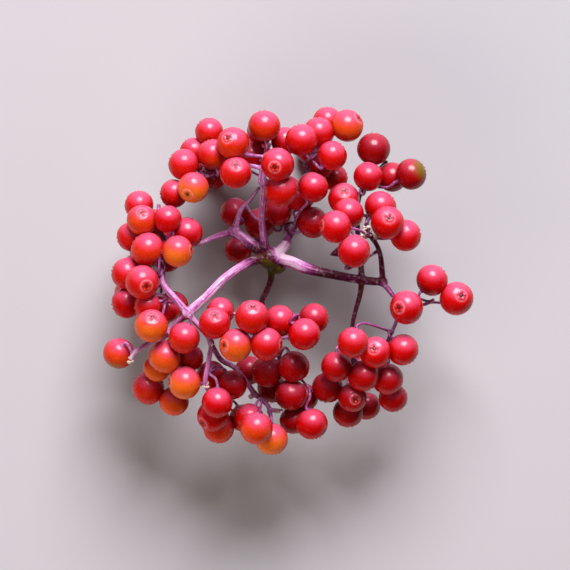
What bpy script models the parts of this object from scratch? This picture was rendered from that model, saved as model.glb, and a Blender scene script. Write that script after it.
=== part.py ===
"""A red elderberry cluster, as picked, lying on its back with the open face up.

Places are in millimetres from the hub, where the main arms meet: X to the right,
Y up the face of the bunch and Z from the back of the bunch to its face. The solids
are made in metres, with the origin on the surface under the middle of the bunch.
"""

import math
import random

import bmesh
import bpy
import numpy
from mathutils import Vector
from mathutils.bvhtree import BVHTree

MM = 0.001

# Driving sizes, in millimetres
HUB_HEIGHT = 12.2
HUB_TO_MIDDLE = (2.69, -3.36)
BUNCH_RADIUS = 29.0
WAIST_HEIGHT = 11.7
FACE_RISE = 12.5
BACK_DROP = 9.3
BERRY_PRESS = 0.38
SPRAY_GAP = 0.35
TWIG_GAP = 0.3
STEM_CLEARANCE = 0.25
REST_FLAT = 0.12
PEDICEL_RADIUS = 0.2
PEDICEL_RADII = (0.15, 0.19, 0.24)
PEDICEL_SHORT = 0.02
FACET_GROWTH = 1.05

# A crown that can't be seen from the face is turned outward and a little down
OUTWARD_SHARE = 0.7
TURNED_DOWN = -0.15

# How far apart berries of a spray may be and still lean together, in all and sideways
LEAN_REACH = 3.2
LEAN_SIDEWAYS = 0.5

# The ways a pedicel may bend, how far and which way of eight, and what each costs
PEDICEL_BENDS = [(0.0, 0)] + [(ring, turn) for ring in (1.5, 3.0, 4.5) for turn in range(8)]
BEND_PLACE = 0.75
BEND_COST = 0.4
MEETING_COST = 8.0
NEAR_KNOTS = 8

# How far berries give way as they settle, x, y and z, and the pull back to their place
SHOWN_GIVE = Vector((0.24, 0.24, 0.8))
HIDDEN_GIVE = Vector((0.8, 0.8, 0.8))
HOME_PULL = 0.05
HOME_SHARE = 0.5
SHOWN_DRIFT = 0.9
SETTLE_STEPS = 90

# Centres further apart than this never meet
TWO_BERRIES = 6.0

# Hidden berries at the back
HIDDEN_BERRIES = 16
HIDDEN_SEED = 7
HIDDEN_RADII = (2.2, 2.5)
HIDDEN_RISE = (-1.0, 0.3)
HIDDEN_BAND = 7.0
HIDDEN_LIFT = 0.6
HIDDEN_TRIES = 20000
TWIG_RADIUS = 0.4
RIM_SHARE = 0.96
RIM_SPOTS = 12

# How many sides the faceted solids have round them
BERRY_SIDES = 8
ARM_SIDES = 8
TWIG_SIDES = 5
PEDICEL_SIDES = 3
BRACT_SIDES = 6
SMALL_KNOT_SIDES = 6
SMALL_KNOT = 1.0

# Colours, linear
BERRY_RED = (0.62, 0.004, 0.006, 1.0)
STEM_LILAC = (0.28, 0.10, 0.24, 1.0)

# The way the crown at the tip of a berry faces where it looks up the bunch
UP = (0.0, 0.55, 0.83)

# The berries of each spray that show from the face: x, y, depth under the dome of
# the face, radius and, where it can be seen, the way the crown faces
SPRAYS = {
    "left_upper": [
        (-18.8, 6.3, 0.0, 2.3, UP),
        (-17.6, 1.7, 0.0, 2.55, None),
        (-12.9, 0.9, 0.5, 2.35, (0.95, 0.1, 0.25)),
        (-19.7, 8.1, 4.0, 2.2, None),
        (-21.0, 3.0, 3.5, 2.2, None),
        (-15.7, 5.6, 3.5, 2.1, None),
        (-12.5, 3.8, 4.5, 2.4, None),
        (-14.7, -0.6, 5.5, 2.1, None),
    ],
    "left_middle": [
        (-18.3, -3.2, 0.0, 2.55, (0.3, -0.25, 0.92)),
        (-17.6, -9.8, 0.0, 2.5, (0.1, 0.6, 0.75)),
        (-21.6, -1.8, 3.0, 2.4, None),
        (-21.5, -6.7, 2.5, 2.35, None),
        (-17.7, -6.5, 5.0, 2.1, None),
        (-15.8, -7.0, 5.0, 2.1, None),
        (-14.6, -7.2, 9.0, 2.3, None),
    ],
    "left_lower": [
        (-12.9, -11.5, 0.0, 2.4, None),
        (-15.8, -15.0, 1.5, 2.5, None),
        (-12.5, -18.8, 1.0, 2.5, (-0.95, 0.05, 0.2)),
        (-18.3, -19.2, 3.5, 2.5, None),
        (-16.8, -16.4, 6.0, 2.1, None),
        (-12.0, -15.0, 4.5, 2.1, None),
        (-14.3, -21.6, 4.5, 2.25, None),
    ],
    "left_stray": [
        (-22.7, -14.3, 0.0, 2.35, (-0.35, -0.55, -0.75)),
    ],
    "lower_left": [
        (-7.8, -21.0, 1.0, 2.35, None),
        (-8.4, -17.0, 5.3, 2.2, None),
        (-8.7, -23.8, 4.0, 2.4, (-0.7, -0.5, 0.5)),
        (-5.9, -19.2, 4.0, 2.25, None),
        (-6.9, -25.4, 8.0, 2.35, None),
        (-4.8, -24.4, 8.5, 2.1, None),
    ],
    "bottom": [
        (-2.1, -25.4, 0.0, 2.5, None),
        (0.3, -27.2, 3.0, 2.45, None),
        (-3.0, -23.9, 4.0, 2.1, None),
    ],
    "lower_centre": [
        (-8.4, -9.6, 0.0, 2.4, UP),
        (-5.1, -13.2, 0.0, 2.5, (-0.75, 0.0, 0.65)),
        (-2.7, -8.7, 0.0, 2.55, (0.05, 0.65, 0.75)),
        (-0.5, -13.2, 0.0, 2.5, (0.95, -0.05, 0.25)),
        (5.0, -11.4, 1.0, 2.45, None),
        (1.7, -9.2, 3.5, 2.4, None),
        (-7.4, -8.0, 4.5, 2.15, None),
        (6.6, -9.0, 5.0, 2.3, None),
    ],
    "lower_back": [
        (3.5, -16.1, 6.0, 2.4, None),
        (-0.3, -17.1, 7.0, 2.4, None),
        (2.9, -20.7, 5.0, 2.4, None),
        (6.3, -24.9, 4.0, 2.4, None),
        (0.3, -19.6, 10.0, 2.25, None),
        (3.9, -23.6, 8.5, 2.1, None),
        (5.0, -21.9, 9.5, 2.15, None),
        (-3.3, -17.0, 10.0, 2.2, None),
    ],
    "lower_right": [
        (12.3, -12.6, 0.0, 2.35, None),
        (15.5, -13.8, 0.5, 2.4, (-0.1, 0.25, 0.95)),
        (20.4, -13.7, 2.5, 2.4, None),
        (14.0, -17.7, 3.0, 2.4, None),
        (17.7, -17.9, 4.0, 2.4, None),
        (9.8, -16.2, 3.5, 2.35, None),
        (9.0, -19.7, 6.5, 2.35, None),
        (11.7, -21.0, 5.5, 2.2, (0.2, -0.1, 0.97)),
        (12.0, -23.2, 8.5, 2.35, None),
        (14.3, -22.4, 9.0, 2.1, None),
        (18.6, -21.3, 7.0, 2.2, None),
    ],
    "right_inner": [
        (20.4, -7.4, 0.5, 2.55, (-0.5, 0.0, 0.85)),
    ],
    "right_outer": [
        (27.3, -5.6, 0.0, 2.55, (0.3, 0.2, 0.93)),
        (24.9, -3.8, 1.5, 2.4, None),
    ],
    "right_upper": [
        (12.6, 0.9, 0.0, 2.5, None),
        (17.4, 5.4, 0.0, 2.5, (0.1, 0.3, 0.95)),
        (9.8, 4.8, 0.5, 2.45, (-0.95, 0.1, 0.3)),
        (11.6, 6.7, 3.0, 2.35, None),
        (20.4, 3.3, 3.0, 2.4, None),
        (16.5, 7.8, 3.5, 2.4, None),
        (10.8, 9.1, 5.5, 2.4, UP),
    ],
    "right_top": [
        (14.7, 11.7, 4.0, 2.25, None),
        (18.3, 12.9, 5.0, 2.25, None),
        (20.6, 12.5, 2.5, 2.35, None),
        (15.3, 16.8, 3.0, 2.5, None),
    ],
    "top_right": [
        (4.7, 17.6, 0.0, 2.45, None),
        (9.6, 15.0, 1.5, 2.25, None),
        (7.5, 19.2, 2.5, 2.4, None),
        (11.3, 19.5, 2.0, 2.45, (0.75, 0.5, 0.4)),
        (6.6, 10.3, 5.0, 2.35, None),
        (8.7, 20.6, 5.5, 2.2, None),
        (7.5, 13.9, 7.0, 2.05, None),
        (9.8, 12.0, 9.0, 2.0, None),
    ],
    "top": [
        (1.2, 14.0, 0.0, 2.5, (-0.2, -0.2, 0.95)),
        (1.7, 10.2, 4.0, 2.5, None),
        (-0.9, 19.7, 3.0, 2.45, None),
        (-1.2, 18.2, 7.5, 2.1, None),
        (-2.0, 15.3, 7.0, 2.0, None),
        (2.1, 16.7, 7.5, 2.15, None),
    ],
    "top_left": [
        (-5.6, 17.4, 0.0, 2.45, (-0.35, 0.35, 0.87)),
        (-5.1, 12.5, 1.0, 2.4, UP),
        (-11.1, 10.1, 0.0, 2.35, (-0.4, -0.5, 0.77)),
        (-8.7, 15.5, 2.5, 2.35, None),
        (-9.3, 18.5, 3.0, 2.15, None),
        (-12.9, 14.3, 3.0, 2.35, None),
        (-14.6, 9.6, 4.0, 2.15, None),
        (-10.7, 15.9, 6.0, 2.1, None),
        (-6.6, 14.6, 6.0, 2.0, None),
        (-8.7, 13.2, 8.5, 2.1, None),
    ],
    "heart": [
        (-4.5, 6.6, 15.0, 2.25, None),
        (-2.4, 5.3, 17.0, 2.4, None),
        (-4.8, 1.3, 16.5, 2.1, None),
        (2.0, 6.9, 15.5, 2.25, None),
        (5.7, 5.6, 13.5, 2.4, None),
        (4.0, 8.6, 12.0, 2.2, None),
    ],
}

# Low berries at the back that touch the surface, round the weight: spray, x, y
RESTS = [
    ("left_lower", -13.6, -13.6),
    ("lower_right", 13.6, -16.2),
    ("top_right", 6.2, 16.6),
    ("top_left", -9.2, 14.8),
    ("left_upper", -16.6, 3.4),
]
REST_RADIUS = 2.4

# The branching stem: each arm or twig is a smooth curve through these points,
# x, y, z and radius. The sprays named hang on it by their pedicels.
ARMS = {
    "lower_left_arm": [
        (-0.3, 0.0, 0.4, 0.85),
        (-3.0, -0.6, 1.4, 0.72),
        (-6.75, -3.0, 3.8, 0.68),
        (-9.75, -6.0, 6.2, 0.68),
        (-12.3, -8.3, 8.0, 0.75),
    ],
    "upper_arm": [
        (-0.6, 0.3, 0.3, 0.8),
        (-1.2, 4.95, 2.4, 0.52),
        (-1.05, 8.7, 4.2, 0.52),
        (-0.9, 10.95, 5.1, 0.5),
        (-1.2, 13.4, 5.4, 0.48),
    ],
    "left_arm": [
        (-0.6, 0.6, 0.0, 0.95),
        (-3.0, 2.25, 0.1, 0.85),
        (-5.4, 4.0, 0.0, 0.72),
    ],
    "right_arm": [
        (0.2, 0.0, -0.1, 1.0),
        (3.0, -0.6, 0.0, 0.95),
        (5.25, -1.5, 0.3, 0.9),
        (8.25, -2.25, 1.0, 0.72),
        (13.8, -3.3, 2.2, 0.66),
        (16.95, -3.6, 2.8, 0.6),
    ],
    "back_arm": [
        (0.6, 0.2, -0.2, 0.95),
        (2.5, 2.4, -1.4, 0.75),
        (2.55, 5.0, -3.6, 0.5),
        (1.9, 8.0, -5.0, 0.38),
    ],
}
TWIGS = {
    "left_rising": (
        ["left_upper"],
        [
            (-12.3, -8.3, 8.0, 0.6),
            (-14.25, -6.0, 8.2, 0.55),
            (-15.9, -3.9, 7.4, 0.48),
            (-16.05, -1.2, 5.8, 0.42),
            (-15.4, 1.2, 6.2, 0.42),
            (-16.5, 4.5, 5.0, 0.36),
            (-16.7, 8.1, 4.2, 0.32),
        ],
    ),
    "left_inner": (
        ["left_middle"],
        [
            (-14.25, -6.0, 8.2, 0.4),
            (-16.6, -5.6, 5.4, 0.35),
            (-18.6, -5.2, 1.6, 0.3),
            (-18.2, -4.4, -2.4, 0.28),
        ],
    ),
    "left_falling": (
        ["left_lower"],
        [
            (-12.3, -8.3, 8.0, 0.55),
            (-14.8, -10.6, 5.6, 0.46),
            (-16.2, -12.6, 3.2, 0.42),
            (-15.4, -16.0, 0.4, 0.36),
            (-14.4, -18.0, -3.6, 0.3),
        ],
    ),
    "left_stalk": (
        ["left_stray"],
        [
            (-14.8, -10.6, 5.6, 0.42),
            (-17.7, -12.5, 5.2, 0.42),
            (-20.1, -14.0, 5.6, 0.42),
            (-20.9, -15.3, 5.5, 0.36),
        ],
    ),
    "middle_falling": (
        ["lower_left"],
        [
            (-12.3, -8.3, 8.0, 0.5),
            (-10.5, -10.3, 7.6, 0.4),
            (-8.85, -12.6, 7.0, 0.42),
            (-9.15, -15.3, 7.1, 0.38),
            (-9.6, -19.0, 6.6, 0.4),
            (-7.6, -21.6, 0.4, 0.32),
            (-6.6, -22.4, -3.0, 0.28),
        ],
    ),
    "bottom_twig": (
        ["bottom"],
        [
            (-8.85, -12.6, 7.0, 0.4),
            (-7.4, -15.2, 3.6, 0.42),
            (-5.25, -16.5, 2.6, 0.42),
            (-3.3, -19.0, 2.2, 0.42),
            (-2.25, -20.4, 2.2, 0.42),
            (-0.3, -22.2, 2.2, 0.36),
            (0.1, -24.0, 1.2, 0.33),
        ],
    ),
    "bottom_stub_left": ([], [(-2.25, -20.4, 2.2, 0.4), (-3.1, -20.95, 2.6, 0.4)]),
    "bottom_stub_right": ([], [(0.0, -22.8, 2.0, 0.36), (1.4, -23.0, 2.5, 0.36)]),
    "centre_falling": (
        ["lower_back"],
        [
            (0.1, -0.4, -0.8, 0.7),
            (0.15, -3.0, -2.0, 0.5),
            (-0.6, -5.1, -3.0, 0.46),
            (-1.2, -7.0, -3.6, 0.44),
            (0.4, -12.0, -2.4, 0.42),
            (2.4, -17.6, -3.4, 0.36),
            (3.6, -21.0, -4.6, 0.32),
        ],
    ),
    "centre_fan": (
        ["lower_centre"],
        [
            (-0.6, -9.6, -3.0, 0.4),
            (-2.4, -11.2, 2.0, 0.38),
            (-4.6, -10.8, 6.4, 0.34),
        ],
    ),
    "centre_fan_right": (
        ["lower_centre"],
        [
            (0.4, -12.0, -2.4, 0.38),
            (2.6, -12.0, 3.0, 0.34),
            (3.4, -12.4, 6.2, 0.3),
        ],
    ),
    "right_falling": (
        ["lower_right"],
        [
            (13.8, -3.3, 2.2, 0.5),
            (13.5, -5.6, 2.0, 0.42),
            (12.4, -10.0, 2.4, 0.34),
            (12.4, -14.6, 1.0, 0.34),
            (12.6, -18.6, -3.4, 0.3),
        ],
    ),
    "right_tip": (
        ["right_inner", "right_outer"],
        [
            (16.95, -3.6, 2.8, 0.5),
            (18.3, -5.4, 3.6, 0.4),
            (19.6, -7.0, 3.4, 0.34),
            (23.0, -7.0, 4.0, 0.28),
            (24.6, -6.2, 4.6, 0.28),
        ],
    ),
    "right_hanging": (
        ["lower_right"],
        [
            (19.6, -7.0, 3.4, 0.32),
            (18.9, -9.6, 4.4, 0.3),
            (17.7, -12.6, 4.4, 0.34),
            (17.8, -15.6, -0.4, 0.3),
            (17.0, -18.4, -4.0, 0.28),
        ],
    ),
    "right_rising": (
        ["right_upper"],
        [
            (16.95, -3.6, 2.8, 0.5),
            (16.6, 0.15, 4.2, 0.4),
            (15.9, 2.1, 5.4, 0.38),
            (14.5, 4.2, 6.6, 0.46),
            (14.6, 5.6, 2.4, 0.34),
            (14.8, 7.0, -1.0, 0.3),
        ],
    ),
    "right_behind": (
        ["right_top"],
        [
            (13.8, -3.3, 2.2, 0.52),
            (13.65, -1.0, 1.8, 0.46),
            (13.2, 3.4, 0.2, 0.42),
            (13.4, 9.2, 0.2, 0.38),
            (15.8, 12.6, 0.4, 0.34),
            (17.6, 14.6, 1.2, 0.3),
        ],
    ),
    "top_right_twig": (
        ["top_right"],
        [
            (2.5, 2.4, -1.4, 0.5),
            (3.75, 4.6, -1.8, 0.42),
            (5.6, 8.0, -3.0, 0.38),
            (7.6, 12.2, -3.6, 0.36),
            (7.6, 16.4, -1.4, 0.34),
            (8.8, 18.4, -0.6, 0.3),
        ],
    ),
    "top_right_back": (
        ["top_right"],
        [
            (5.6, 8.0, -3.0, 0.34),
            (6.4, 11.6, -5.2, 0.3),
            (7.4, 14.2, -6.2, 0.28),
        ],
    ),
    "heart_left": (
        ["heart"],
        [
            (-5.4, 4.0, 0.0, 0.6),
            (-4.9, 5.6, -0.6, 0.48),
            (-4.4, 7.2, -1.4, 0.4),
            (-3.0, 8.8, -2.6, 0.3),
            (-1.6, 10.7, -3.8, 0.26),
        ],
    ),
    "heart_right": (["heart"], [(2.55, 5.0, -3.6, 0.4), (1.0, 6.0, -6.4, 0.34)]),
    "left_reach": (
        ["left_upper"],
        [
            (-5.4, 4.0, 0.0, 0.6),
            (-8.7, 3.0, 0.2, 0.42),
            (-10.8, 2.2, 0.4, 0.38),
            (-14.0, 2.6, -1.6, 0.32),
            (-16.6, 3.4, -4.4, 0.28),
        ],
    ),
    "top_twig": (
        ["top"],
        [
            (-1.2, 13.4, 5.4, 0.42),
            (-0.7, 15.2, 5.0, 0.36),
            (-0.4, 16.6, 2.0, 0.32),
            (0.0, 17.2, -2.0, 0.28),
        ],
    ),
    "top_pale_twig": (["top_left"], [(-0.7, 15.2, 5.0, 0.3), (-3.9, 15.4, 5.2, 0.3)]),
    "top_left_twig": (
        ["top_left"],
        [
            (-1.2, 13.4, 5.4, 0.36),
            (-3.1, 13.9, 4.0, 0.34),
            (-5.2, 13.6, 2.6, 0.36),
            (-7.4, 13.05, 3.4, 0.38),
            (-9.4, 12.5, 4.0, 0.38),
            (-10.6, 13.0, 3.6, 0.3),
        ],
    ),
    "top_left_inner": (
        ["top_left"],
        [
            (-9.4, 12.5, 4.0, 0.34),
            (-9.9, 15.0, -0.6, 0.32),
            (-9.6, 16.4, -3.6, 0.28),
        ],
    ),
}

# Swellings where the stem forks: x, y, z and radius
KNOTS = [
    (0.0, 0.0, 0.0, 1.75),
    (1.1, -1.1, -0.9, 1.35),
    (-12.3, -8.3, 8.0, 0.95),
    (-5.4, 4.0, 0.0, 0.95),
    (13.8, -3.3, 2.2, 0.85),
    (16.95, -3.6, 2.8, 0.78),
    (-8.85, -12.6, 7.0, 0.55),
    (-9.6, -19.0, 6.6, 0.5),
    (14.5, 4.2, 6.6, 0.6),
    (-15.4, 1.2, 6.2, 0.52),
    (-9.4, 12.5, 4.0, 0.55),
    (-20.1, -14.0, 5.6, 0.52),
    (17.7, -12.6, 4.4, 0.45),
]

# The cut stalk, from the hub to its clean end at the back of the bunch
STALK = [
    (0.0, 0.0, -0.4, 1.3),
    (-0.5, 0.6, -3.2, 1.15),
    (-1.2, 2.0, -6.2, 1.1),
    (-1.4, 4.2, -8.4, 1.1),
    (-0.9, 6.8, -9.8, 1.1),
    (0.4, 9.4, -10.4, 1.12),
    (1.8, 12.0, -10.6, 1.15),
]

# A small pointed bract on the stem behind the right upper spray
BRACT = [(13.5, 1.2, -0.9, 0.7), (11.2, 1.1, 2.4, 1.05), (8.9, 0.45, 3.0, 0.14)]
BRACT_THICKNESS = 0.45


class Berry:
    """One berry: its spray, centre and radius, and the way its crown faces."""

    def __init__(self, spray, centre, radius, crown=None, shows=True, rests=False):
        self.spray = spray
        self.centre = Vector(centre)
        self.home = self.centre.copy()
        self.radius = radius
        self.crown = Vector(crown).normalized() if crown else None
        self.shows = shows
        self.rests = rests


def waist_share(x, y):
    """How far the dome stands out from the waist at this place, from 0 to 1."""
    away = math.hypot(x - HUB_TO_MIDDLE[0], y - HUB_TO_MIDDLE[1]) / BUNCH_RADIUS
    return math.sqrt(max(0.0, 1.0 - away * away))


def face_height(x, y):
    return WAIST_HEIGHT - HUB_HEIGHT + FACE_RISE * waist_share(x, y)


def back_height(x, y):
    return WAIST_HEIGHT - HUB_HEIGHT - BACK_DROP * waist_share(x, y)


def lowest_centre(radius):
    return radius - REST_FLAT - HUB_HEIGHT


def smooth_path(points, steps):
    """Points of x, y, z and radius on a Catmull-Rom curve through the given ones."""
    ends = [points[0], *points, points[-1]]
    path = []
    for a, b, c, d in zip(ends, ends[1:], ends[2:], ends[3:]):
        for step in range(steps):
            t = step / steps
            path.append(
                tuple(
                    0.5 * (2 * q + (r - p) * t + (2 * p - 5 * q + 4 * r - s) * t**2 + (3 * q - p - 3 * r + s) * t**3)
                    for p, q, r, s in zip(a, b, c, d)
                )
            )
    path.append(tuple(points[-1]))
    return path


def stem_paths():
    """Every arm, twig and the stalk as (name, path, sides, sprays)."""
    paths = [(name, smooth_path(points, 2), ARM_SIDES, []) for name, points in ARMS.items()]
    paths += [(name, smooth_path(points, 1), TWIG_SIDES, sprays) for name, (sprays, points) in TWIGS.items()]
    paths.append(("stalk", smooth_path(STALK, 1), ARM_SIDES, []))
    return paths


def shown_berries():
    """The berries seen from the face, each at its depth under the dome."""
    berries = []
    for spray, rows in SPRAYS.items():
        for x, y, depth, radius, crown in rows:
            berries.append(Berry(spray, (x, y, face_height(x, y) - depth), radius, crown))
    for spray, x, y in RESTS:
        centre = (x, y, lowest_centre(REST_RADIUS))
        berries.append(Berry(spray, centre, REST_RADIUS, shows=False, rests=True))
    return berries


def nearest_on(path, point):
    """(distance, place, radius) of the nearest point of a path's axis."""
    best = None
    for a, b in zip(path, path[1:]):
        start = Vector(a[:3])
        along = Vector(b[:3]) - start
        share = (point - start).dot(along) / max(along.length_squared, 1e-9)
        share = min(1.0, max(0.0, share))
        place = start + along * share
        away = (point - place).length
        if best is None or away < best[0]:
            best = (away, place, a[3] + (b[3] - a[3]) * share)
    return best


def contact(first, second):
    """How far apart two centres are when the berries meet: pressed, or clear."""
    reach = first.radius + second.radius
    return reach - BERRY_PRESS if first.spray == second.spray else reach + SPRAY_GAP


def leaning_pairs(berries):
    """The closest pairs that join up the berries of each spray, as index pairs."""
    near = []
    for i, first in enumerate(berries):
        for j in range(i + 1, len(berries)):
            second = berries[j]
            if first.spray != second.spray:
                continue
            gap = (first.centre - second.centre).length - contact(first, second)
            plan = (first.centre - second.centre).xy.length - contact(first, second)
            if gap < LEAN_REACH and (plan < LEAN_SIDEWAYS or not (first.shows and second.shows)):
                near.append((gap, i, j))
    group = list(range(len(berries)))
    pairs = set()
    for _, i, j in sorted(near):
        if group[i] != group[j]:
            pairs.add((i, j))
            old = group[j]
            group = [group[i] if mark == old else mark for mark in group]
    return pairs


def settle(berries, paths, steps):
    """Moves crowded berries apart, mostly in height, and leans near ones together."""
    pairs = leaning_pairs(berries)
    for step in range(steps):
        moves = [Vector() for _ in berries]
        for i, first in enumerate(berries):
            for j in range(i + 1, len(berries)):
                second = berries[j]
                between = second.centre - first.centre
                if between.length > TWO_BERRIES and (i, j) not in pairs:
                    continue
                away = max(between.length, 1e-6)
                short = contact(first, second) - away
                if short > 0 or (i, j) in pairs:
                    push = between * (short / away * 0.5)
                    moves[i] -= push
                    moves[j] += push
            for path in paths:
                away, place, thick = nearest_on(path, first.centre)
                short = first.radius + thick + TWIG_GAP - away
                if short > 0:
                    moves[i] += (first.centre - place) * (short / max(away, 1e-6))
        for berry, move in zip(berries, moves):
            if berry.rests:
                continue
            pull = berry.home - berry.centre
            berry.centre += move * (SHOWN_GIVE if berry.shows else HIDDEN_GIVE)
            if step < steps * HOME_SHARE:
                berry.centre += pull * HOME_PULL
            drift = (berry.centre - berry.home).xy
            if berry.shows and drift.length > SHOWN_DRIFT:
                berry.centre.xy = berry.home.xy + drift.normalized() * SHOWN_DRIFT
            berry.centre.z = max(berry.centre.z, lowest_centre(berry.radius))


def covered(berries, x, y, radius):
    """True where the berries that show hide a berry at this place from the face."""
    rim = [(0.0, 0.0)]
    turns = [math.tau * k / RIM_SPOTS for k in range(RIM_SPOTS)]
    rim += [(math.cos(turn) * RIM_SHARE, math.sin(turn) * RIM_SHARE) for turn in turns]
    for dx, dy in rim:
        spot = (x + dx * radius, y + dy * radius)
        if not any(berry.shows and math.dist(spot, berry.centre[:2]) < berry.radius for berry in berries):
            return False
    return True


def add_hidden(berries, paths):
    """Adds berries at the back, each against another and hidden from the face."""
    draw = random.Random(HIDDEN_SEED)
    wanted = len(berries) + HIDDEN_BERRIES
    for _ in range(HIDDEN_TRIES):
        if len(berries) >= wanted:
            break
        hidden = [berry for berry in berries if not berry.shows]
        host = draw.choice(berries if draw.random() < 0.5 else hidden)
        radius = draw.uniform(*HIDDEN_RADII)
        turn = draw.uniform(0.0, math.tau)
        rise = draw.uniform(*HIDDEN_RISE)
        flat = math.sqrt(1.0 - rise * rise)
        away = Vector((math.cos(turn) * flat, math.sin(turn) * flat, rise))
        new = Berry(host.spray, host.centre, radius, shows=False)
        new.centre += away * (contact(host, new) + 0.01)
        new.home = new.centre.copy()
        x, y, z = new.centre
        floor = max(back_height(x, y), lowest_centre(radius) + HIDDEN_LIFT)
        if not floor < z < floor + HIDDEN_BAND or not covered(berries, x, y, radius):
            continue
        if any((new.centre - other.centre).length < contact(new, other) for other in berries):
            continue
        if any(nearest_on(path, new.centre)[0] < radius + TWIG_RADIUS + TWIG_GAP for path in paths):
            continue
        berries.append(new)


def crown_way(berry, knot):
    """The way the crown faces: as seen, or else away from the knot and outward."""
    if berry.crown:
        return berry.crown
    away = (berry.centre - knot).normalized()
    if berry.shows:
        outward = Vector((*(berry.centre.xy - Vector(HUB_TO_MIDDLE)), 0.0)).normalized()
        away = away + outward * OUTWARD_SHARE
        away.z = min(away.z, TURNED_DOWN * away.xy.length)
    return away.normalized()


def pedicel_path(berry, berries, knots):
    """The clearest way from the spray's twigs to the back of a berry, by one bend."""
    others = [other for other in berries if other is not berry]
    centres = numpy.array([other.centre for other in others])
    rooms = numpy.array([other.radius for other in others]) + PEDICEL_RADIUS + STEM_CLEARANCE
    best = None
    for knot in knots:
        facing = crown_way(berry, knot)
        room = (berry.radius + STEM_CLEARANCE) * FACET_GROWTH + PEDICEL_SHORT
        end = berry.centre - facing * room
        side = facing.orthogonal().normalized()
        for ring, turn in PEDICEL_BENDS:
            angle = turn * math.tau / 8
            lean = (side * math.cos(angle) + facing.cross(side) * math.sin(angle)) * ring
            middle = knot.lerp(end, BEND_PLACE) + (lean - facing) / 2
            spots = [knot.lerp(middle, k / 4) for k in range(4)]
            spots += [middle.lerp(end, k / 4) for k in range(4)]
            gaps = numpy.linalg.norm(numpy.array(spots)[:, None] - centres[None], axis=2) - rooms
            cost = (middle - knot).length + (end - middle).length + ring * BEND_COST
            cost -= numpy.minimum(gaps, 0.0).sum() * MEETING_COST
            if best is None or cost < best[0]:
                best = (cost, [knot, middle, end])
    return best[1]


def pedicels(berries, paths):
    """One pedicel for each berry, as a path of x, y, z and radius."""
    found = []
    for berry in berries:
        knots = []
        for _, path, _, sprays in paths:
            if berry.spray in sprays:
                joints = [Vector(point[:3]) for point in path]
                knots += [(start + end) / 2 for start, end in zip(joints, joints[1:])]
        knots.sort(key=lambda knot: (knot - berry.centre).length)
        path = pedicel_path(berry, berries, knots[:NEAR_KNOTS])
        found.append([(*place, radius) for place, radius in zip(path, PEDICEL_RADII)])
    return found


def in_world(point):
    """A place from the hub, in millimetres, as a place from the origin, in metres."""
    x, y, z = point[:3]
    return Vector((x - HUB_TO_MIDDLE[0], y - HUB_TO_MIDDLE[1], z + HUB_HEIGHT)) * MM


def clear_scene():
    for obj in list(bpy.data.objects):
        bpy.data.objects.remove(obj)


def new_collection(name):
    collection = bpy.data.collections.new(name)
    bpy.context.scene.collection.children.link(collection)
    return collection


def new_material(name, colour, roughness):
    material = bpy.data.materials.new(name)
    material.use_nodes = True
    shader = material.node_tree.nodes["Principled BSDF"]
    shader.inputs["Base Color"].default_value = colour
    shader.inputs["Roughness"].default_value = roughness
    shader.inputs["Metallic"].default_value = 0.0
    return material


def new_object(name, mesh, collection):
    obj = bpy.data.objects.new(name, mesh)
    collection.objects.link(obj)
    return obj


def ball(name, centre, radius, collection, sides=BERRY_SIDES):
    """A faceted ball; its corners stand out a little, so its mean radius is right."""
    mesh = bpy.data.meshes.new(name)
    shape = bmesh.new()
    size = radius * FACET_GROWTH * MM
    bmesh.ops.create_uvsphere(shape, u_segments=sides, v_segments=sides // 2 + 1, radius=size)
    bmesh.ops.translate(shape, verts=shape.verts, vec=in_world(centre))
    shape.to_mesh(mesh)
    shape.free()
    return new_object(name, mesh, collection)


def poly_curve(name, points, collection):
    """A curve object through points of x, y, z and radius, in metres."""
    curve = bpy.data.curves.new(name, "CURVE")
    curve.dimensions = "3D"
    spline = curve.splines.new("POLY")
    spline.points.add(len(points) - 1)
    for point, (x, y, z, radius) in zip(spline.points, points):
        point.co = (x, y, z, 1.0)
        point.radius = radius
    return new_object(name, curve, collection)


def tube(name, path, sides, collection):
    """A closed tube along a path, as thick at each point as a round one."""
    size = MM * math.sqrt(math.tau / (sides * math.sin(math.tau / sides)))
    turns = [math.tau * side / sides for side in range(sides)]
    ring = [(math.cos(turn) * size, math.sin(turn) * size, 0.0, 1.0) for turn in turns]
    outline = poly_curve("outline", ring, collection)
    outline.data.splines[0].use_cyclic_u = True
    guide = poly_curve("guide", [(*in_world(point), point[3]) for point in path], collection)
    guide.data.bevel_mode = "OBJECT"
    guide.data.bevel_object = outline
    guide.data.use_fill_caps = True
    mesh = bpy.data.meshes.new_from_object(
        guide.evaluated_get(bpy.context.evaluated_depsgraph_get())
    )
    bpy.data.objects.remove(guide)
    bpy.data.objects.remove(outline)
    shape = bmesh.new()
    shape.from_mesh(mesh)
    bmesh.ops.remove_doubles(shape, verts=shape.verts, dist=1e-7)
    bmesh.ops.recalc_face_normals(shape, faces=shape.faces)
    shape.to_mesh(mesh)
    shape.free()
    return new_object(name, mesh, collection)


def combine(obj, operation, others):
    """Applies one Boolean between an object and a collection, then empties that."""
    modifier = obj.modifiers.new(operation.title(), "BOOLEAN")
    modifier.operation = operation
    modifier.operand_type = "COLLECTION"
    modifier.collection = others
    modifier.solver = "MANIFOLD"
    graph = bpy.context.evaluated_depsgraph_get()
    mesh = bpy.data.meshes.new_from_object(obj.evaluated_get(graph))
    obj.modifiers.remove(modifier)
    obj.data = mesh
    for other in list(others.objects):
        bpy.data.objects.remove(other)


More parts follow.
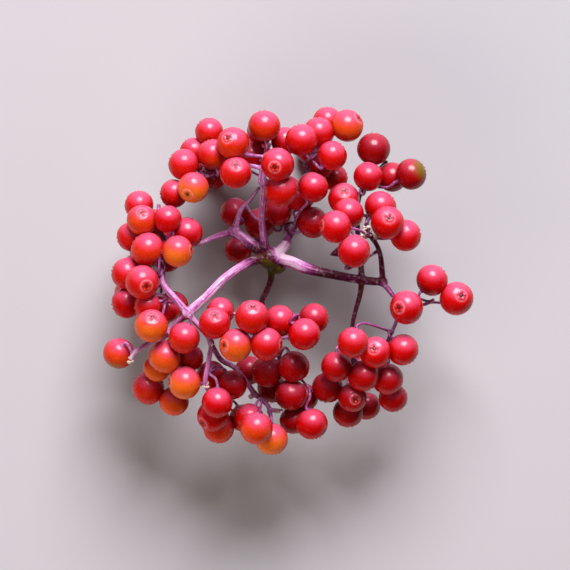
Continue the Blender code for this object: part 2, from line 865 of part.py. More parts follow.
def drop_scraps(obj):
    """Keeps the largest connected piece of a mesh."""
    shape = bmesh.new()
    shape.from_mesh(obj.data)
    left = set(shape.verts)
    pieces = []
    while left:
        piece = set()
        edge = [left.pop()]
        while edge:
            vert = edge.pop()
            piece.add(vert)
            for link in vert.link_edges:
                other = link.other_vert(vert)
                if other in left:
                    left.remove(other)
                    edge.append(other)
        pieces.append(piece)
    pieces.sort(key=len)
    for piece in pieces[:-1]:
        bmesh.ops.delete(shape, geom=list(piece), context="VERTS")
    shape.to_mesh(obj.data)
    shape.free()


def surface_box(collection):
    """A block under the surface that the bunch lies on."""
    mesh = bpy.data.meshes.new("surface")
    shape = bmesh.new()
    bmesh.ops.create_cube(shape, size=0.1)
    bmesh.ops.translate(shape, verts=shape.verts, vec=(0.0, 0.0, -0.05))
    shape.to_mesh(mesh)
    shape.free()
    return new_object("surface", mesh, collection)


def tree_of(obj):
    shape = bmesh.new()
    shape.from_mesh(obj.data)
    tree = BVHTree.FromBMesh(shape)
    shape.free()
    return tree


def touching_groups(objects):
    """Lists of the objects that hold together, largest first."""
    trees = [tree_of(obj) for obj in objects]
    left = set(range(len(objects)))
    groups = []
    while left:
        group = []
        edge = [min(left)]
        left.remove(edge[0])
        while edge:
            i = edge.pop()
            group.append(i)
            for j in sorted(left):
                if trees[i].overlap(trees[j]):
                    left.remove(j)
                    edge.append(j)
        groups.append([objects[i] for i in sorted(group)])
    return sorted(groups, key=len, reverse=True)


def build_berries(berries, part, helpers):
    """One node for each group of berries of a spray that holds together."""
    material = new_material("berry_skin", BERRY_RED, 0.25)
    for spray in SPRAYS:
        own = [berry for berry in berries if berry.spray == spray]
        balls = [ball("berry", berry.centre, berry.radius, part) for berry in own]
        for number, group in enumerate(touching_groups(balls)):
            name = "berries_" + spray + ("" if number == 0 else "_" + "abcdefgh"[number])
            node = group[0]
            node.name = name
            if len(group) > 1:
                for other in group[1:]:
                    part.objects.unlink(other)
                    helpers.objects.link(other)
                combine(node, "UNION", helpers)
            if min(vert.co.z for vert in node.data.vertices) < 0.0:
                surface_box(helpers)
                combine(node, "DIFFERENCE", helpers)
            node.data.materials.clear()
            node.data.materials.append(material)


def build_stem(berries, paths, part, helpers):
    """The arms, twigs, pedicels, knots, bract and stalk as one branching body."""
    name, path, sides, _ = paths[0]
    stem = tube("stem", path, sides, part)
    for name, path, sides, _ in paths[1:]:
        tube(name, path, sides, helpers)
    for path in pedicels(berries, paths):
        tube("pedicel", path, PEDICEL_SIDES, helpers)
    for x, y, z, radius in KNOTS:
        sides = SMALL_KNOT_SIDES if radius < SMALL_KNOT else BERRY_SIDES
        ball("knot", (x, y, z), radius, helpers, sides)
    bract = tube("bract", BRACT, BRACT_SIDES, helpers)
    middle = in_world(BRACT[1]).z
    for vert in bract.data.vertices:
        vert.co.z = middle + (vert.co.z - middle) * BRACT_THICKNESS
    combine(stem, "UNION", helpers)
    for berry in berries:
        ball("berry_room", berry.centre, berry.radius + STEM_CLEARANCE, helpers)
    combine(stem, "DIFFERENCE", helpers)
    drop_scraps(stem)
    stem.data.materials.clear()
    stem.data.materials.append(new_material("stem", STEM_LILAC, 0.5))


def place_berries(paths):
    """All the berries at rest against each other and the twigs."""
    axes = [path for _, path, _, _ in paths]
    berries = shown_berries()
    settle(berries, axes, SETTLE_STEPS)
    add_hidden(berries, axes)
    settle(berries, axes, SETTLE_STEPS)
    return berries


def main():
    clear_scene()
    part = new_collection("red_elderberry_cluster")
    helpers = new_collection("helpers")
    helpers.hide_render = True
    paths = stem_paths()
    berries = place_berries(paths)
    build_berries(berries, part, helpers)
    build_stem(berries, paths, part, helpers)


main()
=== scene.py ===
"""The looks of a red elderberry cluster, lying on its back with the open face up.

Places are in millimetres from the hub, where the main arms meet: X to the right, Y up the
face and Z from the back to the face, as in the source of its solids. Meshes are in metres.
"""

import math
import random
from itertools import combinations

import bmesh
import bpy
import numpy
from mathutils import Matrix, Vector
from mathutils.kdtree import KDTree


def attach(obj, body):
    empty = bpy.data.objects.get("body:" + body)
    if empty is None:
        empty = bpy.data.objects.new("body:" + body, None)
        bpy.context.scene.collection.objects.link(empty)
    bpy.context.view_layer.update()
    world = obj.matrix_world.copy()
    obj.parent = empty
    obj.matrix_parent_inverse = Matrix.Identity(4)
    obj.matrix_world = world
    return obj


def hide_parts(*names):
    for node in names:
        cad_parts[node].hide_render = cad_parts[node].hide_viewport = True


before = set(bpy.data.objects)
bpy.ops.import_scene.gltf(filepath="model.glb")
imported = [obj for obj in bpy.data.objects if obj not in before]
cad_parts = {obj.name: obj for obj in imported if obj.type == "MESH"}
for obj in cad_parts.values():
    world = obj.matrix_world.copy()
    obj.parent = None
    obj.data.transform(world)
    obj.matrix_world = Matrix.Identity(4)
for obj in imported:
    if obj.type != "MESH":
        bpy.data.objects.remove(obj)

MM = 0.001

# Driving sizes, in millimetres
HUB_HEIGHT = 12.2
HUB_TO_MIDDLE = (2.69, -3.36)
BUNCH_RADIUS = 29.0
WAIST_HEIGHT = 11.7
FACE_RISE = 12.5
BACK_DROP = 9.3
BERRY_PRESS = 0.38
SPRAY_GAP = 0.35
TWIG_GAP = 0.3
STEM_CLEARANCE = 0.25
REST_FLAT = 0.12
PEDICEL_RADIUS = 0.2
PEDICEL_SHORT = 0.02

# How much further out than a round berry the corners of its solid lie
FACET_GROWTH = 1.05

# Steps of the curve from point to point of an arm or twig that berries are placed round
ARM_STEPS = 2
TWIG_STEPS = 1

# What a length is taken as where it would be less
LEAST_LENGTH = 1e-6

# A crown that can't be seen from the face is turned outward and a little down
OUTWARD_SHARE = 0.7
TURNED_DOWN = -0.15

# How far apart berries of a spray may be and still lean together, in all and sideways
LEAN_REACH = 3.2
LEAN_SIDEWAYS = 0.5

# The ways a pedicel may bend, how far and which way of eight, and what each costs
BEND_TURNS = 8
PEDICEL_BENDS = [(0.0, 0)] + [(ring, turn) for ring in (1.5, 3.0, 4.5) for turn in range(BEND_TURNS)]
BEND_PLACE = 0.75
BEND_COST = 0.4
MEETING_COST = 8.0
LEG_SPOTS = 4
NEAR_KNOTS = 8

# How far berries give way as they settle, x, y and z, and the pull back to their place
SHOWN_GIVE = Vector((0.24, 0.24, 0.8))
HIDDEN_GIVE = Vector((0.8, 0.8, 0.8))
HOME_PULL = 0.05
HOME_SHARE = 0.5
SHOWN_DRIFT = 0.9
SETTLE_STEPS = 90

# Centres further apart than this never meet
TWO_BERRIES = 6.0

# Berries hidden at the back, each tried against any other or against one out of sight
HIDDEN_BERRIES = 16
ANY_HOST_SHARE = 0.5
HOST_GAP = 0.01
HIDDEN_SEED = 7
HIDDEN_RADII = (2.2, 2.5)
HIDDEN_RISE = (-1.0, 0.3)
HIDDEN_BAND = 7.0
HIDDEN_LIFT = 0.6
HIDDEN_TRIES = 20000
TWIG_RADIUS = 0.4
RIM_SHARE = 0.96
RIM_SPOTS = 12

# The photograph: the pixel of the hub, its size in pixels and the size of a pixel
HUB_PIXEL = (270.0, 258.0)
PHOTO_PIXELS = 570.0
PIXEL = 0.15

# The way the crown at the tip of a berry faces where it looks up the bunch
UP = (0.0, 0.55, 0.83)

# The berries of each spray that show from the face: x, y, depth under the dome of the face, radius,
# ripeness and, where it can be seen, the way the crown faces. Ripeness -1 is dark, for overripe berries and
# as painted shade on berries deep in the bunch, 0 is red and 1 is still orange on the side away from the
# light.
SPRAYS = {
    "left_upper": [
        (-18.8, 6.3, 0, 2.3, 0.4, UP), (-17.6, 1.7, 0, 2.55, 0.3),
        (-12.9, 0.9, 0.5, 2.35, 0.7, (0.95, 0.1, 0.25)), (-19.7, 8.1, 4, 2.2, 0.2),
        (-21, 3, 3.5, 2.2, 0.15), (-15.7, 5.6, 3.5, 2.1, 0.1), (-12.5, 3.8, 4.5, 2.4, -0.05),
        (-14.7, -0.6, 5.5, 2.1, -0.25),
    ],
    "left_middle": [
        (-18.3, -3.2, 0, 2.55, 0.25, (0.3, -0.25, 0.92)), (-17.6, -9.8, 0, 2.5, 0.75, (0.1, 0.6, 0.75)),
        (-21.6, -1.8, 3, 2.4, 0.2), (-21.5, -6.7, 2.5, 2.35, -0.1), (-17.7, -6.5, 5, 2.1, 0.2),
        (-15.8, -7, 5, 2.1, 0.1), (-14.6, -7.2, 9, 2.3, -0.3),
    ],
    "left_lower": [
        (-12.9, -11.5, 0, 2.4, 0.3), (-15.8, -15, 1.5, 2.5, 0.6),
        (-12.5, -18.8, 1, 2.5, 0.75, (-0.95, 0.05, 0.2)), (-18.3, -19.2, 3.5, 2.5, 0.2),
        (-16.8, -16.4, 6, 2.1, 0.65), (-12, -15, 4.5, 2.1, 0.1), (-14.3, -21.6, 4.5, 2.25, 0.65),
    ],
    "left_stray": [(-22.7, -14.3, 0, 2.35, 0.5, (-0.35, -0.55, -0.75))],
    "lower_left": [
        (-7.8, -21, 1, 2.35, 0), (-8.4, -17, 5.3, 2.2, 0.1), (-8.7, -23.8, 4, 2.4, 0, (-0.7, -0.5, 0.5)),
        (-5.9, -19.2, 4, 2.25, 0), (-6.9, -25.4, 8, 2.35, 0.45), (-4.8, -24.4, 8.5, 2.1, -0.1),
    ],
    "bottom": [(-2.1, -25.4, 0, 2.5, 0.4), (0.3, -27.2, 3, 2.45, 0.85), (-3, -23.9, 4, 2.1, 0.15)],
    "lower_centre": [
        (-8.4, -9.6, 0, 2.4, 0.1, UP), (-5.1, -13.2, 0, 2.5, 0.65, (-0.75, 0, 0.65)),
        (-2.7, -8.7, 0, 2.55, 0.3, (0.05, 0.65, 0.75)), (-0.5, -13.2, 0, 2.5, 0.1, (0.95, -0.05, 0.25)),
        (5, -11.4, 1, 2.45, -0.1), (1.7, -9.2, 3.5, 2.4, -0.1), (-7.4, -8, 4.5, 2.15, 0),
        (6.6, -9, 5, 2.3, -0.35),
    ],
    "lower_back": [
        (3.5, -16.1, 6, 2.4, -0.4), (-0.3, -17.1, 7, 2.4, -0.4), (2.9, -20.7, 5, 2.4, -0.3),
        (6.3, -24.9, 4, 2.4, -0.2), (0.3, -19.6, 10, 2.25, -0.5), (3.9, -23.6, 8.5, 2.1, -0.45),
        (5, -21.9, 9.5, 2.15, -0.4), (-3.3, -17, 10, 2.2, -0.4),
    ],
    "lower_right": [
        (12.3, -12.6, 0, 2.35, 0.05), (15.5, -13.8, 0.5, 2.4, 0.05, (-0.1, 0.25, 0.95)),
        (20.4, -13.7, 2.5, 2.4, -0.05), (14, -17.7, 3, 2.4, -0.25), (17.7, -17.9, 4, 2.4, -0.3),
        (9.8, -16.2, 3.5, 2.35, -0.3), (9, -19.7, 6.5, 2.35, -0.4),
        (11.7, -21, 5.5, 2.2, -0.35, (0.2, -0.1, 0.97)), (12, -23.2, 8.5, 2.35, -0.45),
        (14.3, -22.4, 9, 2.1, -0.45), (18.6, -21.3, 7, 2.2, -0.4),
    ],
    "right_inner": [(20.4, -7.4, 0.5, 2.55, 0, (-0.5, 0, 0.85))],
    "right_outer": [(27.3, -5.6, 0, 2.55, 0.05, (0.3, 0.2, 0.93)), (24.9, -3.8, 1.5, 2.4, 0)],
    "right_upper": [
        (12.6, 0.9, 0, 2.5, 0), (17.4, 5.4, 0, 2.5, 0, (0.1, 0.3, 0.95)),
        (9.8, 4.8, 0.5, 2.45, 0.05, (-0.95, 0.1, 0.3)), (11.6, 6.7, 3, 2.35, 0), (20.4, 3.3, 3, 2.4, 0),
        (16.5, 7.8, 3.5, 2.4, 0), (10.8, 9.1, 5.5, 2.4, 0, UP),
    ],
    "right_top": [
        (14.7, 11.7, 4, 2.25, -0.1), (18.3, 12.9, 5, 2.25, -0.6), (20.6, 12.5, 2.5, 2.35, -0.6),
        (15.3, 16.8, 3, 2.5, -0.7),
    ],
    "top_right": [
        (4.7, 17.6, 0, 2.45, 0.1), (9.6, 15, 1.5, 2.25, 0.1), (7.5, 19.2, 2.5, 2.4, 0),
        (11.3, 19.5, 2, 2.45, 0.6, (0.75, 0.5, 0.4)), (6.6, 10.3, 5, 2.35, 0), (8.7, 20.6, 5.5, 2.2, 0.1),
        (7.5, 13.9, 7, 2.05, -0.1), (9.8, 12, 9, 2, -0.3),
    ],
    "top": [
        (1.2, 14, 0, 2.5, 0.15, (-0.2, -0.2, 0.95)), (1.7, 10.2, 4, 2.5, 0.1), (-0.9, 19.7, 3, 2.45, 0.4),
        (-1.2, 18.2, 7.5, 2.1, 0), (-2, 15.3, 7, 2, 0), (2.1, 16.7, 7.5, 2.15, 0),
    ],
    "top_left": [
        (-5.6, 17.4, 0, 2.45, 0.3, (-0.35, 0.35, 0.87)), (-5.1, 12.5, 1, 2.4, 0.3, UP),
        (-11.1, 10.1, 0, 2.35, 0.85, (-0.4, -0.5, 0.77)), (-8.7, 15.5, 2.5, 2.35, 0.3),
        (-9.3, 18.5, 3, 2.15, 0.3), (-12.9, 14.3, 3, 2.35, 0.25), (-14.6, 9.6, 4, 2.15, 0.1),
        (-10.7, 15.9, 6, 2.1, 0.2), (-6.6, 14.6, 6, 2, 0), (-8.7, 13.2, 8.5, 2.1, -0.2),
    ],
    "heart": [
        (-4.5, 6.6, 15, 2.25, 0.1), (-2.4, 5.3, 17, 2.4, -0.15), (-4.8, 1.3, 16.5, 2.1, -0.1),
        (2, 6.9, 15.5, 2.25, -0.1), (5.7, 5.6, 13.5, 2.4, -0.3), (4, 8.6, 12, 2.2, -0.1),
    ],
}

# Low berries at the back that touch the surface, round the weight: spray, x and y
RESTS = [
    ("left_lower", -13.6, -13.6), ("lower_right", 13.6, -16.2), ("top_right", 6.2, 16.6),
    ("top_left", -9.2, 14.8), ("left_upper", -16.6, 3.4),
]
REST_RADIUS = 2.4

# The branching stem: each arm or twig has the sprays that hang on it, its tints at its start and end, and
# the points of its curve as x, y, z and radius. Tint 0 is pale, 0.4 is lilac, 1 is dark purple, 1.5 is
# brown and 2 is olive; the darker tints are partly the bark's own colour and partly painted shade on twigs
# lying back in the bunch. No spray hangs on an arm.
LILAC = (0.45, 0.45)
ARMS = {
    "lower_left_arm": ((0.35, 0.35), [
        (-0.3, 0, 0.4, 0.85), (-3, -0.6, 1.4, 0.72), (-6.75, -3, 3.8, 0.68), (-9.75, -6, 6.2, 0.68),
        (-12.3, -8.3, 8, 0.75),
    ]),
    "upper_arm": ((0.5, 0.5), [
        (-0.6, 0.3, 0.3, 0.8), (-1.2, 4.95, 2.4, 0.52), (-1.05, 8.7, 4.2, 0.52), (-0.9, 10.95, 5.1, 0.5),
        (-1.2, 13.4, 5.4, 0.48),
    ]),
    "left_arm": ((0.45, 0.4), [(-0.6, 0.6, 0, 0.95), (-3, 2.25, 0.1, 0.85), (-5.4, 4, 0, 0.72)]),
    "right_arm": ((0.1, 1.35), [
        (0.2, 0, -0.1, 1), (3, -0.6, 0, 0.95), (5.25, -1.5, 0.3, 0.9), (8.25, -2.25, 1, 0.72),
        (13.8, -3.3, 2.2, 0.66), (16.95, -3.6, 2.8, 0.6),
    ]),
    "back_arm": ((0.1, 0.8), [
        (0.6, 0.2, -0.2, 0.95), (2.5, 2.4, -1.4, 0.75), (2.55, 5, -3.6, 0.5), (1.9, 8, -5, 0.38),
    ]),
}
TWIGS = {
    "left_rising": (["left_upper"], (0.4, 0.6), [
        (-12.3, -8.3, 8, 0.6), (-14.25, -6, 8.2, 0.55), (-15.9, -3.9, 7.4, 0.48), (-16.05, -1.2, 5.8, 0.42),
        (-15.4, 1.2, 6.2, 0.42), (-16.5, 4.5, 5, 0.36), (-16.7, 8.1, 4.2, 0.32),
    ]),
    "left_inner": (["left_middle"], LILAC, [
        (-14.25, -6, 8.2, 0.4), (-16.6, -5.6, 5.4, 0.35), (-18.6, -5.2, 1.6, 0.3),
        (-18.2, -4.4, -2.4, 0.28),
    ]),
    "left_falling": (["left_lower"], LILAC, [
        (-12.3, -8.3, 8, 0.55), (-14.8, -10.6, 5.6, 0.46), (-16.2, -12.6, 3.2, 0.42),
        (-15.4, -16, 0.4, 0.36), (-14.4, -18, -3.6, 0.3),
    ]),
    "left_stalk": (["left_stray"], (0.35, 0.3), [
        (-14.8, -10.6, 5.6, 0.42), (-17.7, -12.5, 5.2, 0.42), (-20.1, -14, 5.6, 0.42),
        (-20.9, -15.3, 5.5, 0.36),
    ]),
    "middle_falling": (["lower_left"], (0.35, 0.45), [
        (-12.3, -8.3, 8, 0.5), (-10.5, -10.3, 7.6, 0.4), (-8.85, -12.6, 7, 0.42), (-9.15, -15.3, 7.1, 0.38),
        (-9.6, -19, 6.6, 0.4), (-7.6, -21.6, 0.4, 0.32), (-6.6, -22.4, -3, 0.28),
    ]),
    "bottom_twig": (["bottom"], (0.5, 0.6), [
        (-8.85, -12.6, 7, 0.4), (-7.4, -15.2, 3.6, 0.42), (-5.25, -16.5, 2.6, 0.42), (-3.3, -19, 2.2, 0.42),
        (-2.25, -20.4, 2.2, 0.42), (-0.3, -22.2, 2.2, 0.36), (0.1, -24, 1.2, 0.33),
    ]),
    "bottom_stub_left": ([], LILAC, [(-2.25, -20.4, 2.2, 0.4), (-3.1, -20.95, 2.6, 0.4)]),
    "bottom_stub_right": ([], LILAC, [(0, -22.8, 2, 0.36), (1.4, -23, 2.5, 0.36)]),
    "centre_falling": (["lower_back"], (1.45, 1.2), [
        (0.1, -0.4, -0.8, 0.7), (0.15, -3, -2, 0.5), (-0.6, -5.1, -3, 0.46), (-1.2, -7, -3.6, 0.44),
        (0.4, -12, -2.4, 0.42), (2.4, -17.6, -3.4, 0.36), (3.6, -21, -4.6, 0.32),
    ]),
    "centre_fan": (["lower_centre"], (1.2, 0.6), [
        (-0.6, -9.6, -3, 0.4), (-2.4, -11.2, 2, 0.38), (-4.6, -10.8, 6.4, 0.34),
    ]),
    "centre_fan_right": (["lower_centre"], LILAC, [
        (0.4, -12, -2.4, 0.38), (2.6, -12, 3, 0.34), (3.4, -12.4, 6.2, 0.3),
    ]),
    "right_falling": (["lower_right"], (1.4, 1.0), [
        (13.8, -3.3, 2.2, 0.5), (13.5, -5.6, 2, 0.42), (12.4, -10, 2.4, 0.34), (12.4, -14.6, 1, 0.34),
        (12.6, -18.6, -3.4, 0.3),
    ]),
    "right_tip": (["right_inner", "right_outer"], (0.8, 0.3), [
        (16.95, -3.6, 2.8, 0.5), (18.3, -5.4, 3.6, 0.4), (19.6, -7, 3.4, 0.34), (23, -7, 4, 0.28),
        (24.6, -6.2, 4.6, 0.28),
    ]),
    "right_hanging": (["lower_right"], (0.8, 0.6), [
        (19.6, -7, 3.4, 0.32), (18.9, -9.6, 4.4, 0.3), (17.7, -12.6, 4.4, 0.34), (17.8, -15.6, -0.4, 0.3),
        (17, -18.4, -4, 0.28),
    ]),
    "right_rising": (["right_upper"], (1.4, 1.0), [
        (16.95, -3.6, 2.8, 0.5), (16.6, 0.15, 4.2, 0.4), (15.9, 2.1, 5.4, 0.38), (14.5, 4.2, 6.6, 0.46),
        (14.6, 5.6, 2.4, 0.34), (14.8, 7, -1, 0.3),
    ]),
    "right_behind": (["right_top"], (1.1, 1.3), [
        (13.8, -3.3, 2.2, 0.52), (13.65, -1, 1.8, 0.46), (13.2, 3.4, 0.2, 0.42), (13.4, 9.2, 0.2, 0.38),
        (15.8, 12.6, 0.4, 0.34), (17.6, 14.6, 1.2, 0.3),
    ]),
    "top_right_twig": (["top_right"], (0.7, 0.8), [
        (2.5, 2.4, -1.4, 0.5), (3.75, 4.6, -1.8, 0.42), (5.6, 8, -3, 0.38), (7.6, 12.2, -3.6, 0.36),
        (7.6, 16.4, -1.4, 0.34), (8.8, 18.4, -0.6, 0.3),
    ]),
    "top_right_back": (["top_right"], LILAC, [
        (5.6, 8, -3, 0.34), (6.4, 11.6, -5.2, 0.3), (7.4, 14.2, -6.2, 0.28),
    ]),
    "heart_left": (["heart"], LILAC, [
        (-5.4, 4, 0, 0.6), (-4.9, 5.6, -0.6, 0.48), (-4.4, 7.2, -1.4, 0.4), (-3, 8.8, -2.6, 0.3),
        (-1.6, 10.7, -3.8, 0.26),
    ]),
    "heart_right": (["heart"], (1.4, 1.0), [(2.55, 5, -3.6, 0.4), (1, 6, -6.4, 0.34)]),
    "left_reach": (["left_upper"], LILAC, [
        (-5.4, 4, 0, 0.6), (-8.7, 3, 0.2, 0.42), (-10.8, 2.2, 0.4, 0.38), (-14, 2.6, -1.6, 0.32),
        (-16.6, 3.4, -4.4, 0.28),
    ]),
    "top_twig": (["top"], LILAC, [
        (-1.2, 13.4, 5.4, 0.42), (-0.7, 15.2, 5, 0.36), (-0.4, 16.6, 2, 0.32), (0, 17.2, -2, 0.28),
    ]),
    "top_pale_twig": (["top_left"], LILAC, [(-0.7, 15.2, 5, 0.3), (-3.9, 15.4, 5.2, 0.3)]),
    "top_left_twig": (["top_left"], LILAC, [
        (-1.2, 13.4, 5.4, 0.36), (-3.1, 13.9, 4, 0.34), (-5.2, 13.6, 2.6, 0.36), (-7.4, 13.05, 3.4, 0.38),
        (-9.4, 12.5, 4, 0.38), (-10.6, 13, 3.6, 0.3),
    ]),
    "top_left_inner": (["top_left"], LILAC, [
        (-9.4, 12.5, 4, 0.34), (-9.9, 15, -0.6, 0.32), (-9.6, 16.4, -3.6, 0.28),
    ]),
}

# Swellings where the stem forks: x, y, z and radius
KNOTS = [
    (0, 0, 0, 1.75), (1.1, -1.1, -0.9, 1.35), (-12.3, -8.3, 8, 0.95), (-5.4, 4, 0, 0.95),
    (13.8, -3.3, 2.2, 0.85), (16.95, -3.6, 2.8, 0.78), (-8.85, -12.6, 7, 0.55), (-9.6, -19, 6.6, 0.5),
    (14.5, 4.2, 6.6, 0.6), (-15.4, 1.2, 6.2, 0.52), (-9.4, 12.5, 4, 0.55), (-20.1, -14, 5.6, 0.52),
    (17.7, -12.6, 4.4, 0.45),
]

# The cut stalk, from the hub to its clean end at the back of the bunch
STALK = [
    (0, 0, -0.4, 1.3), (-0.5, 0.6, -3.2, 1.15), (-1.2, 2, -6.2, 1.1), (-1.4, 4.2, -8.4, 1.1),
    (-0.9, 6.8, -9.8, 1.1), (0.4, 9.4, -10.4, 1.12), (1.8, 12, -10.6, 1.15),
]

# A small pointed bract on the stem behind the right upper spray
BRACT = [(13.5, 1.2, -0.9, 0.7), (11.2, 1.1, 2.4, 1.05), (8.9, 0.45, 3.0, 0.14)]
BRACT_THICKNESS = 0.45

# Berries with an olive patch, by spray and number, and the way the patch faces
OLIVE_SIDES = {("right_top", 2): (0.75, 0.4, 0.53), ("left_stray", 0): (-0.3, -0.9, 0.1)}

# Tints of the cut stalk, and between which those of the pedicels lie
STALK_TINTS = (1.0, 0.9)
PEDICEL_TINTS = (0.45, 0.8)

# Spots where the stem is darker, or paler where negative: x, y, z, reach and how much. The dark ones round
# the hub partly paint the shade where the arms meet.
SHADE_AND_TINT_SPOTS = [
    (-1.5, 0.2, 1, 2.2, 1), (-0.1, -1, 0.9, 1.5, 0.9), (0.3, -1.8, 0.4, 1.2, 2), (4, -0.9, 0.6, 1.8, -0.3),
    (9, -2, 0.4, 2.4, 0.6), (1.5, -2.4, -0.4, 1.3, 1.7), (2, 0.7, 1.2, 1.5, -0.8), (-6, 4.2, 0.4, 1.2, 0.3),
    (1.35, -22.95, 2.5, 0.5, -0.5), (-3, -20.9, 2.6, 0.5, -0.5), (1.8, 12, -10.6, 0.9, -1.4),
    (14.6, 5.8, 3, 1, 1.5),
]

# Dry scraps of flower on the knots: x, y, z, spread and count
CRUMBS = [
    (-9.6, -19, 6.6, 0.5, 9), (-20.9, -15.3, 5.5, 0.42, 8), (-8.85, -12.6, 7, 0.58, 5),
    (14.5, 4.2, 6.6, 0.64, 14), (13.6, 5, 5.6, 0.6, 6), (1.4, -23, 2.5, 0.38, 3),
]

# The radii of scraps, how far they stretch along X, Y and Z, and how uneven they are
CRUMB_RADII = (0.09, 0.26)
CRUMB_STRETCH = [(0.7, 1.6), (0.7, 1.3), (0.5, 0.9)]
CRUMB_LUMPS = (0.85, 1.15)

# A knot whose pedicels carry scraps too, how near they start, where along them and how many
SCRAPPY_KNOT = (14.5, 4.2, 6.6)
SCRAPPY_REACH = 2.2
SCRAPPY_PLACES = (0.12, 0.25, 0.38, 0.5, 0.62, 0.75)
SCRAPPY_COUNT = 2

# The seed of the looks, and between which the ripeness of hidden berries lies
LOOK_SEED = 5
HIDDEN_TONES = (-0.5, 0.3)

# Half the gap between two fine berries that press on each other
CONTACT_GAP = 0.01

# Angles from the crown, in degrees, of the rings of points of a berry
CROWN_RINGS = [3, 5.5, 8, 10.5, 13, 15.5, 18.5, 22, 26, 30, 34, 38, 43, 50]
BODY_RINGS = [58, 67, 77, 88, 99, 110, 121, 132, 143, 153, 162, 169, 175]
BERRY_SIDES = 40

# Round the tip of a berry: how far each form stands out, as a share of the radius, and
# its angles in degrees: the middle and width of a hump, or the start and end of a slope
CROWN_HUMPS = {"tip": (0.07, 14.5, 3.4), "ring": (0.018, 21.5, 3.0), "rim": (0.008, 33.0, 7.0)}
CROWN_SLOPES = {
    "nub": (0.05, 4.0, 1.0), "pit": (-0.04, 11.0, 6.0), "dish": (-0.035, 32.0, 24.0),
    "dimple": (-0.05, 164.0, 178.0),
}

# Lobes of the crown, and how much a berry is flattened and uneven
CROWN_LOBES = 5
BERRY_FLATNESS = 0.025
OVAL_LUMP = 0.008
UNEVEN_LUMP = 0.006

# The side of a berry facing the key light, which gets a painted pink sheen that partly stands for sun
# blush, and the side that ripens last. Where each starts and is full runs from -1, on the far side, to 1,
# right on that side.
LIT_SIDE = (0.1, 0.75, 0.65)
SHEEN_SPREAD = (0.45, 1.02)
SHADE_SIDE = (-0.15, -0.93, 0.34)
SHADE_SPREAD = (-0.7, 0.9)
OLIVE_SPREAD = (0.55, 1.1)
LEAST_ORANGE = 0.4

# The fine stem
STEM_STEPS = 6
STEM_SIDES = 12
STEM_RIDGES = 0.06
RIDGE_COUNT = 5
STEM_VOXEL = 0.13
PEDICEL_SIDES = 10
PEDICEL_STEPS = 6
PEDICEL_INTO_BERRY = 0.3
GRAIN_ALONG = 0.12
GRAIN_APART = 3.7
GRAIN_SHIFTS = (0.0, 50.0)

# A pedicel flares at both ends: how much, and up to or from which share of its way
TWIG_FLARE = 0.8
TWIG_FLARE_END = 1 / 6
BERRY_FLARE = 1.1
BERRY_FLARE_START = 0.72

# The camera looks straight down from this height and is framed at the second one
CAMERA_HEIGHT = 1200.0
FRAMED_HEIGHT = 16.0
SENSOR = 36.0


class Berry:
    """One berry: its spray, centre and radius, and the way its crown faces."""

    def __init__(self, spray, centre, radius, crown=None, shows=True, rests=False):
        self.spray = spray
        self.centre = Vector(centre)
        self.home = self.centre.copy()
        self.radius = radius
        self.crown = Vector(crown).normalized() if crown else None
        self.shows = shows
        self.rests = rests
        self.tone = 0.0
        self.place = None
        self.facing = None
        self.pedicel = None


def dome_height(x, y, rise):
    """The height at this place of a dome that rises this far over the waist."""
    away = math.hypot(x - HUB_TO_MIDDLE[0], y - HUB_TO_MIDDLE[1]) / BUNCH_RADIUS
    return WAIST_HEIGHT - HUB_HEIGHT + rise * math.sqrt(max(0.0, 1.0 - away * away))


def lowest_centre(radius):
    return radius - REST_FLAT - HUB_HEIGHT


def curve_value(p, q, r, s, t):
    """One value at t of a Catmull-Rom curve, which runs from q to r."""
    bend = 2 * p - 5 * q + 4 * r - s
    twist = 3 * q - p - 3 * r + s
    return 0.5 * (2 * q + (r - p) * t + bend * t**2 + twist * t**3)


def smooth_path(points, steps):
    """Points of x, y, z and radius on a smooth curve through the given ones."""
    ends = [points[0], *points, points[-1]]
    path = []
    for four in zip(ends, ends[1:], ends[2:], ends[3:]):
        for step in range(steps):
            path.append(tuple(curve_value(*values, step / steps) for values in zip(*four)))
    path.append(tuple(points[-1]))
    return path


def stem_paths():
    """Every arm, twig and the stalk as its path and the sprays that hang on it."""
    paths = [(smooth_path(points, ARM_STEPS), []) for _, points in ARMS.values()]
    paths += [(smooth_path(points, TWIG_STEPS), sprays) for sprays, _, points in TWIGS.values()]
    paths.append((smooth_path(STALK, TWIG_STEPS), []))
    return paths


def shown_berries():
    """The berries seen from the face, each at its depth under the dome."""
    berries = []
    for spray, rows in SPRAYS.items():
        for number, (x, y, depth, radius, tone, *crown) in enumerate(rows):
            centre = (x, y, dome_height(x, y, FACE_RISE) - depth)
            berry = Berry(spray, centre, radius, *crown)
            berry.place = (spray, number)
            berry.tone = tone
            berries.append(berry)
    for spray, x, y in RESTS:
        centre = (x, y, lowest_centre(REST_RADIUS))
        berries.append(Berry(spray, centre, REST_RADIUS, shows=False, rests=True))
    return berries


def nearest_on(path, point):
    """(distance, place, radius) of the nearest point of a path's axis."""
    best = None
    for a, b in zip(path, path[1:]):
        start = Vector(a[:3])
        along = Vector(b[:3]) - start
        share = (point - start).dot(along) / max(along.length_squared, LEAST_LENGTH)
        share = min(1.0, max(0.0, share))
        place = start + along * share
        away = (point - place).length
        if best is None or away < best[0]:
            best = (away, place, a[3] + (b[3] - a[3]) * share)
    return best


def contact(first, second):
    """How far apart two centres are when the berries meet: pressed, or clear."""
    reach = first.radius + second.radius
    return reach - BERRY_PRESS if first.spray == second.spray else reach + SPRAY_GAP


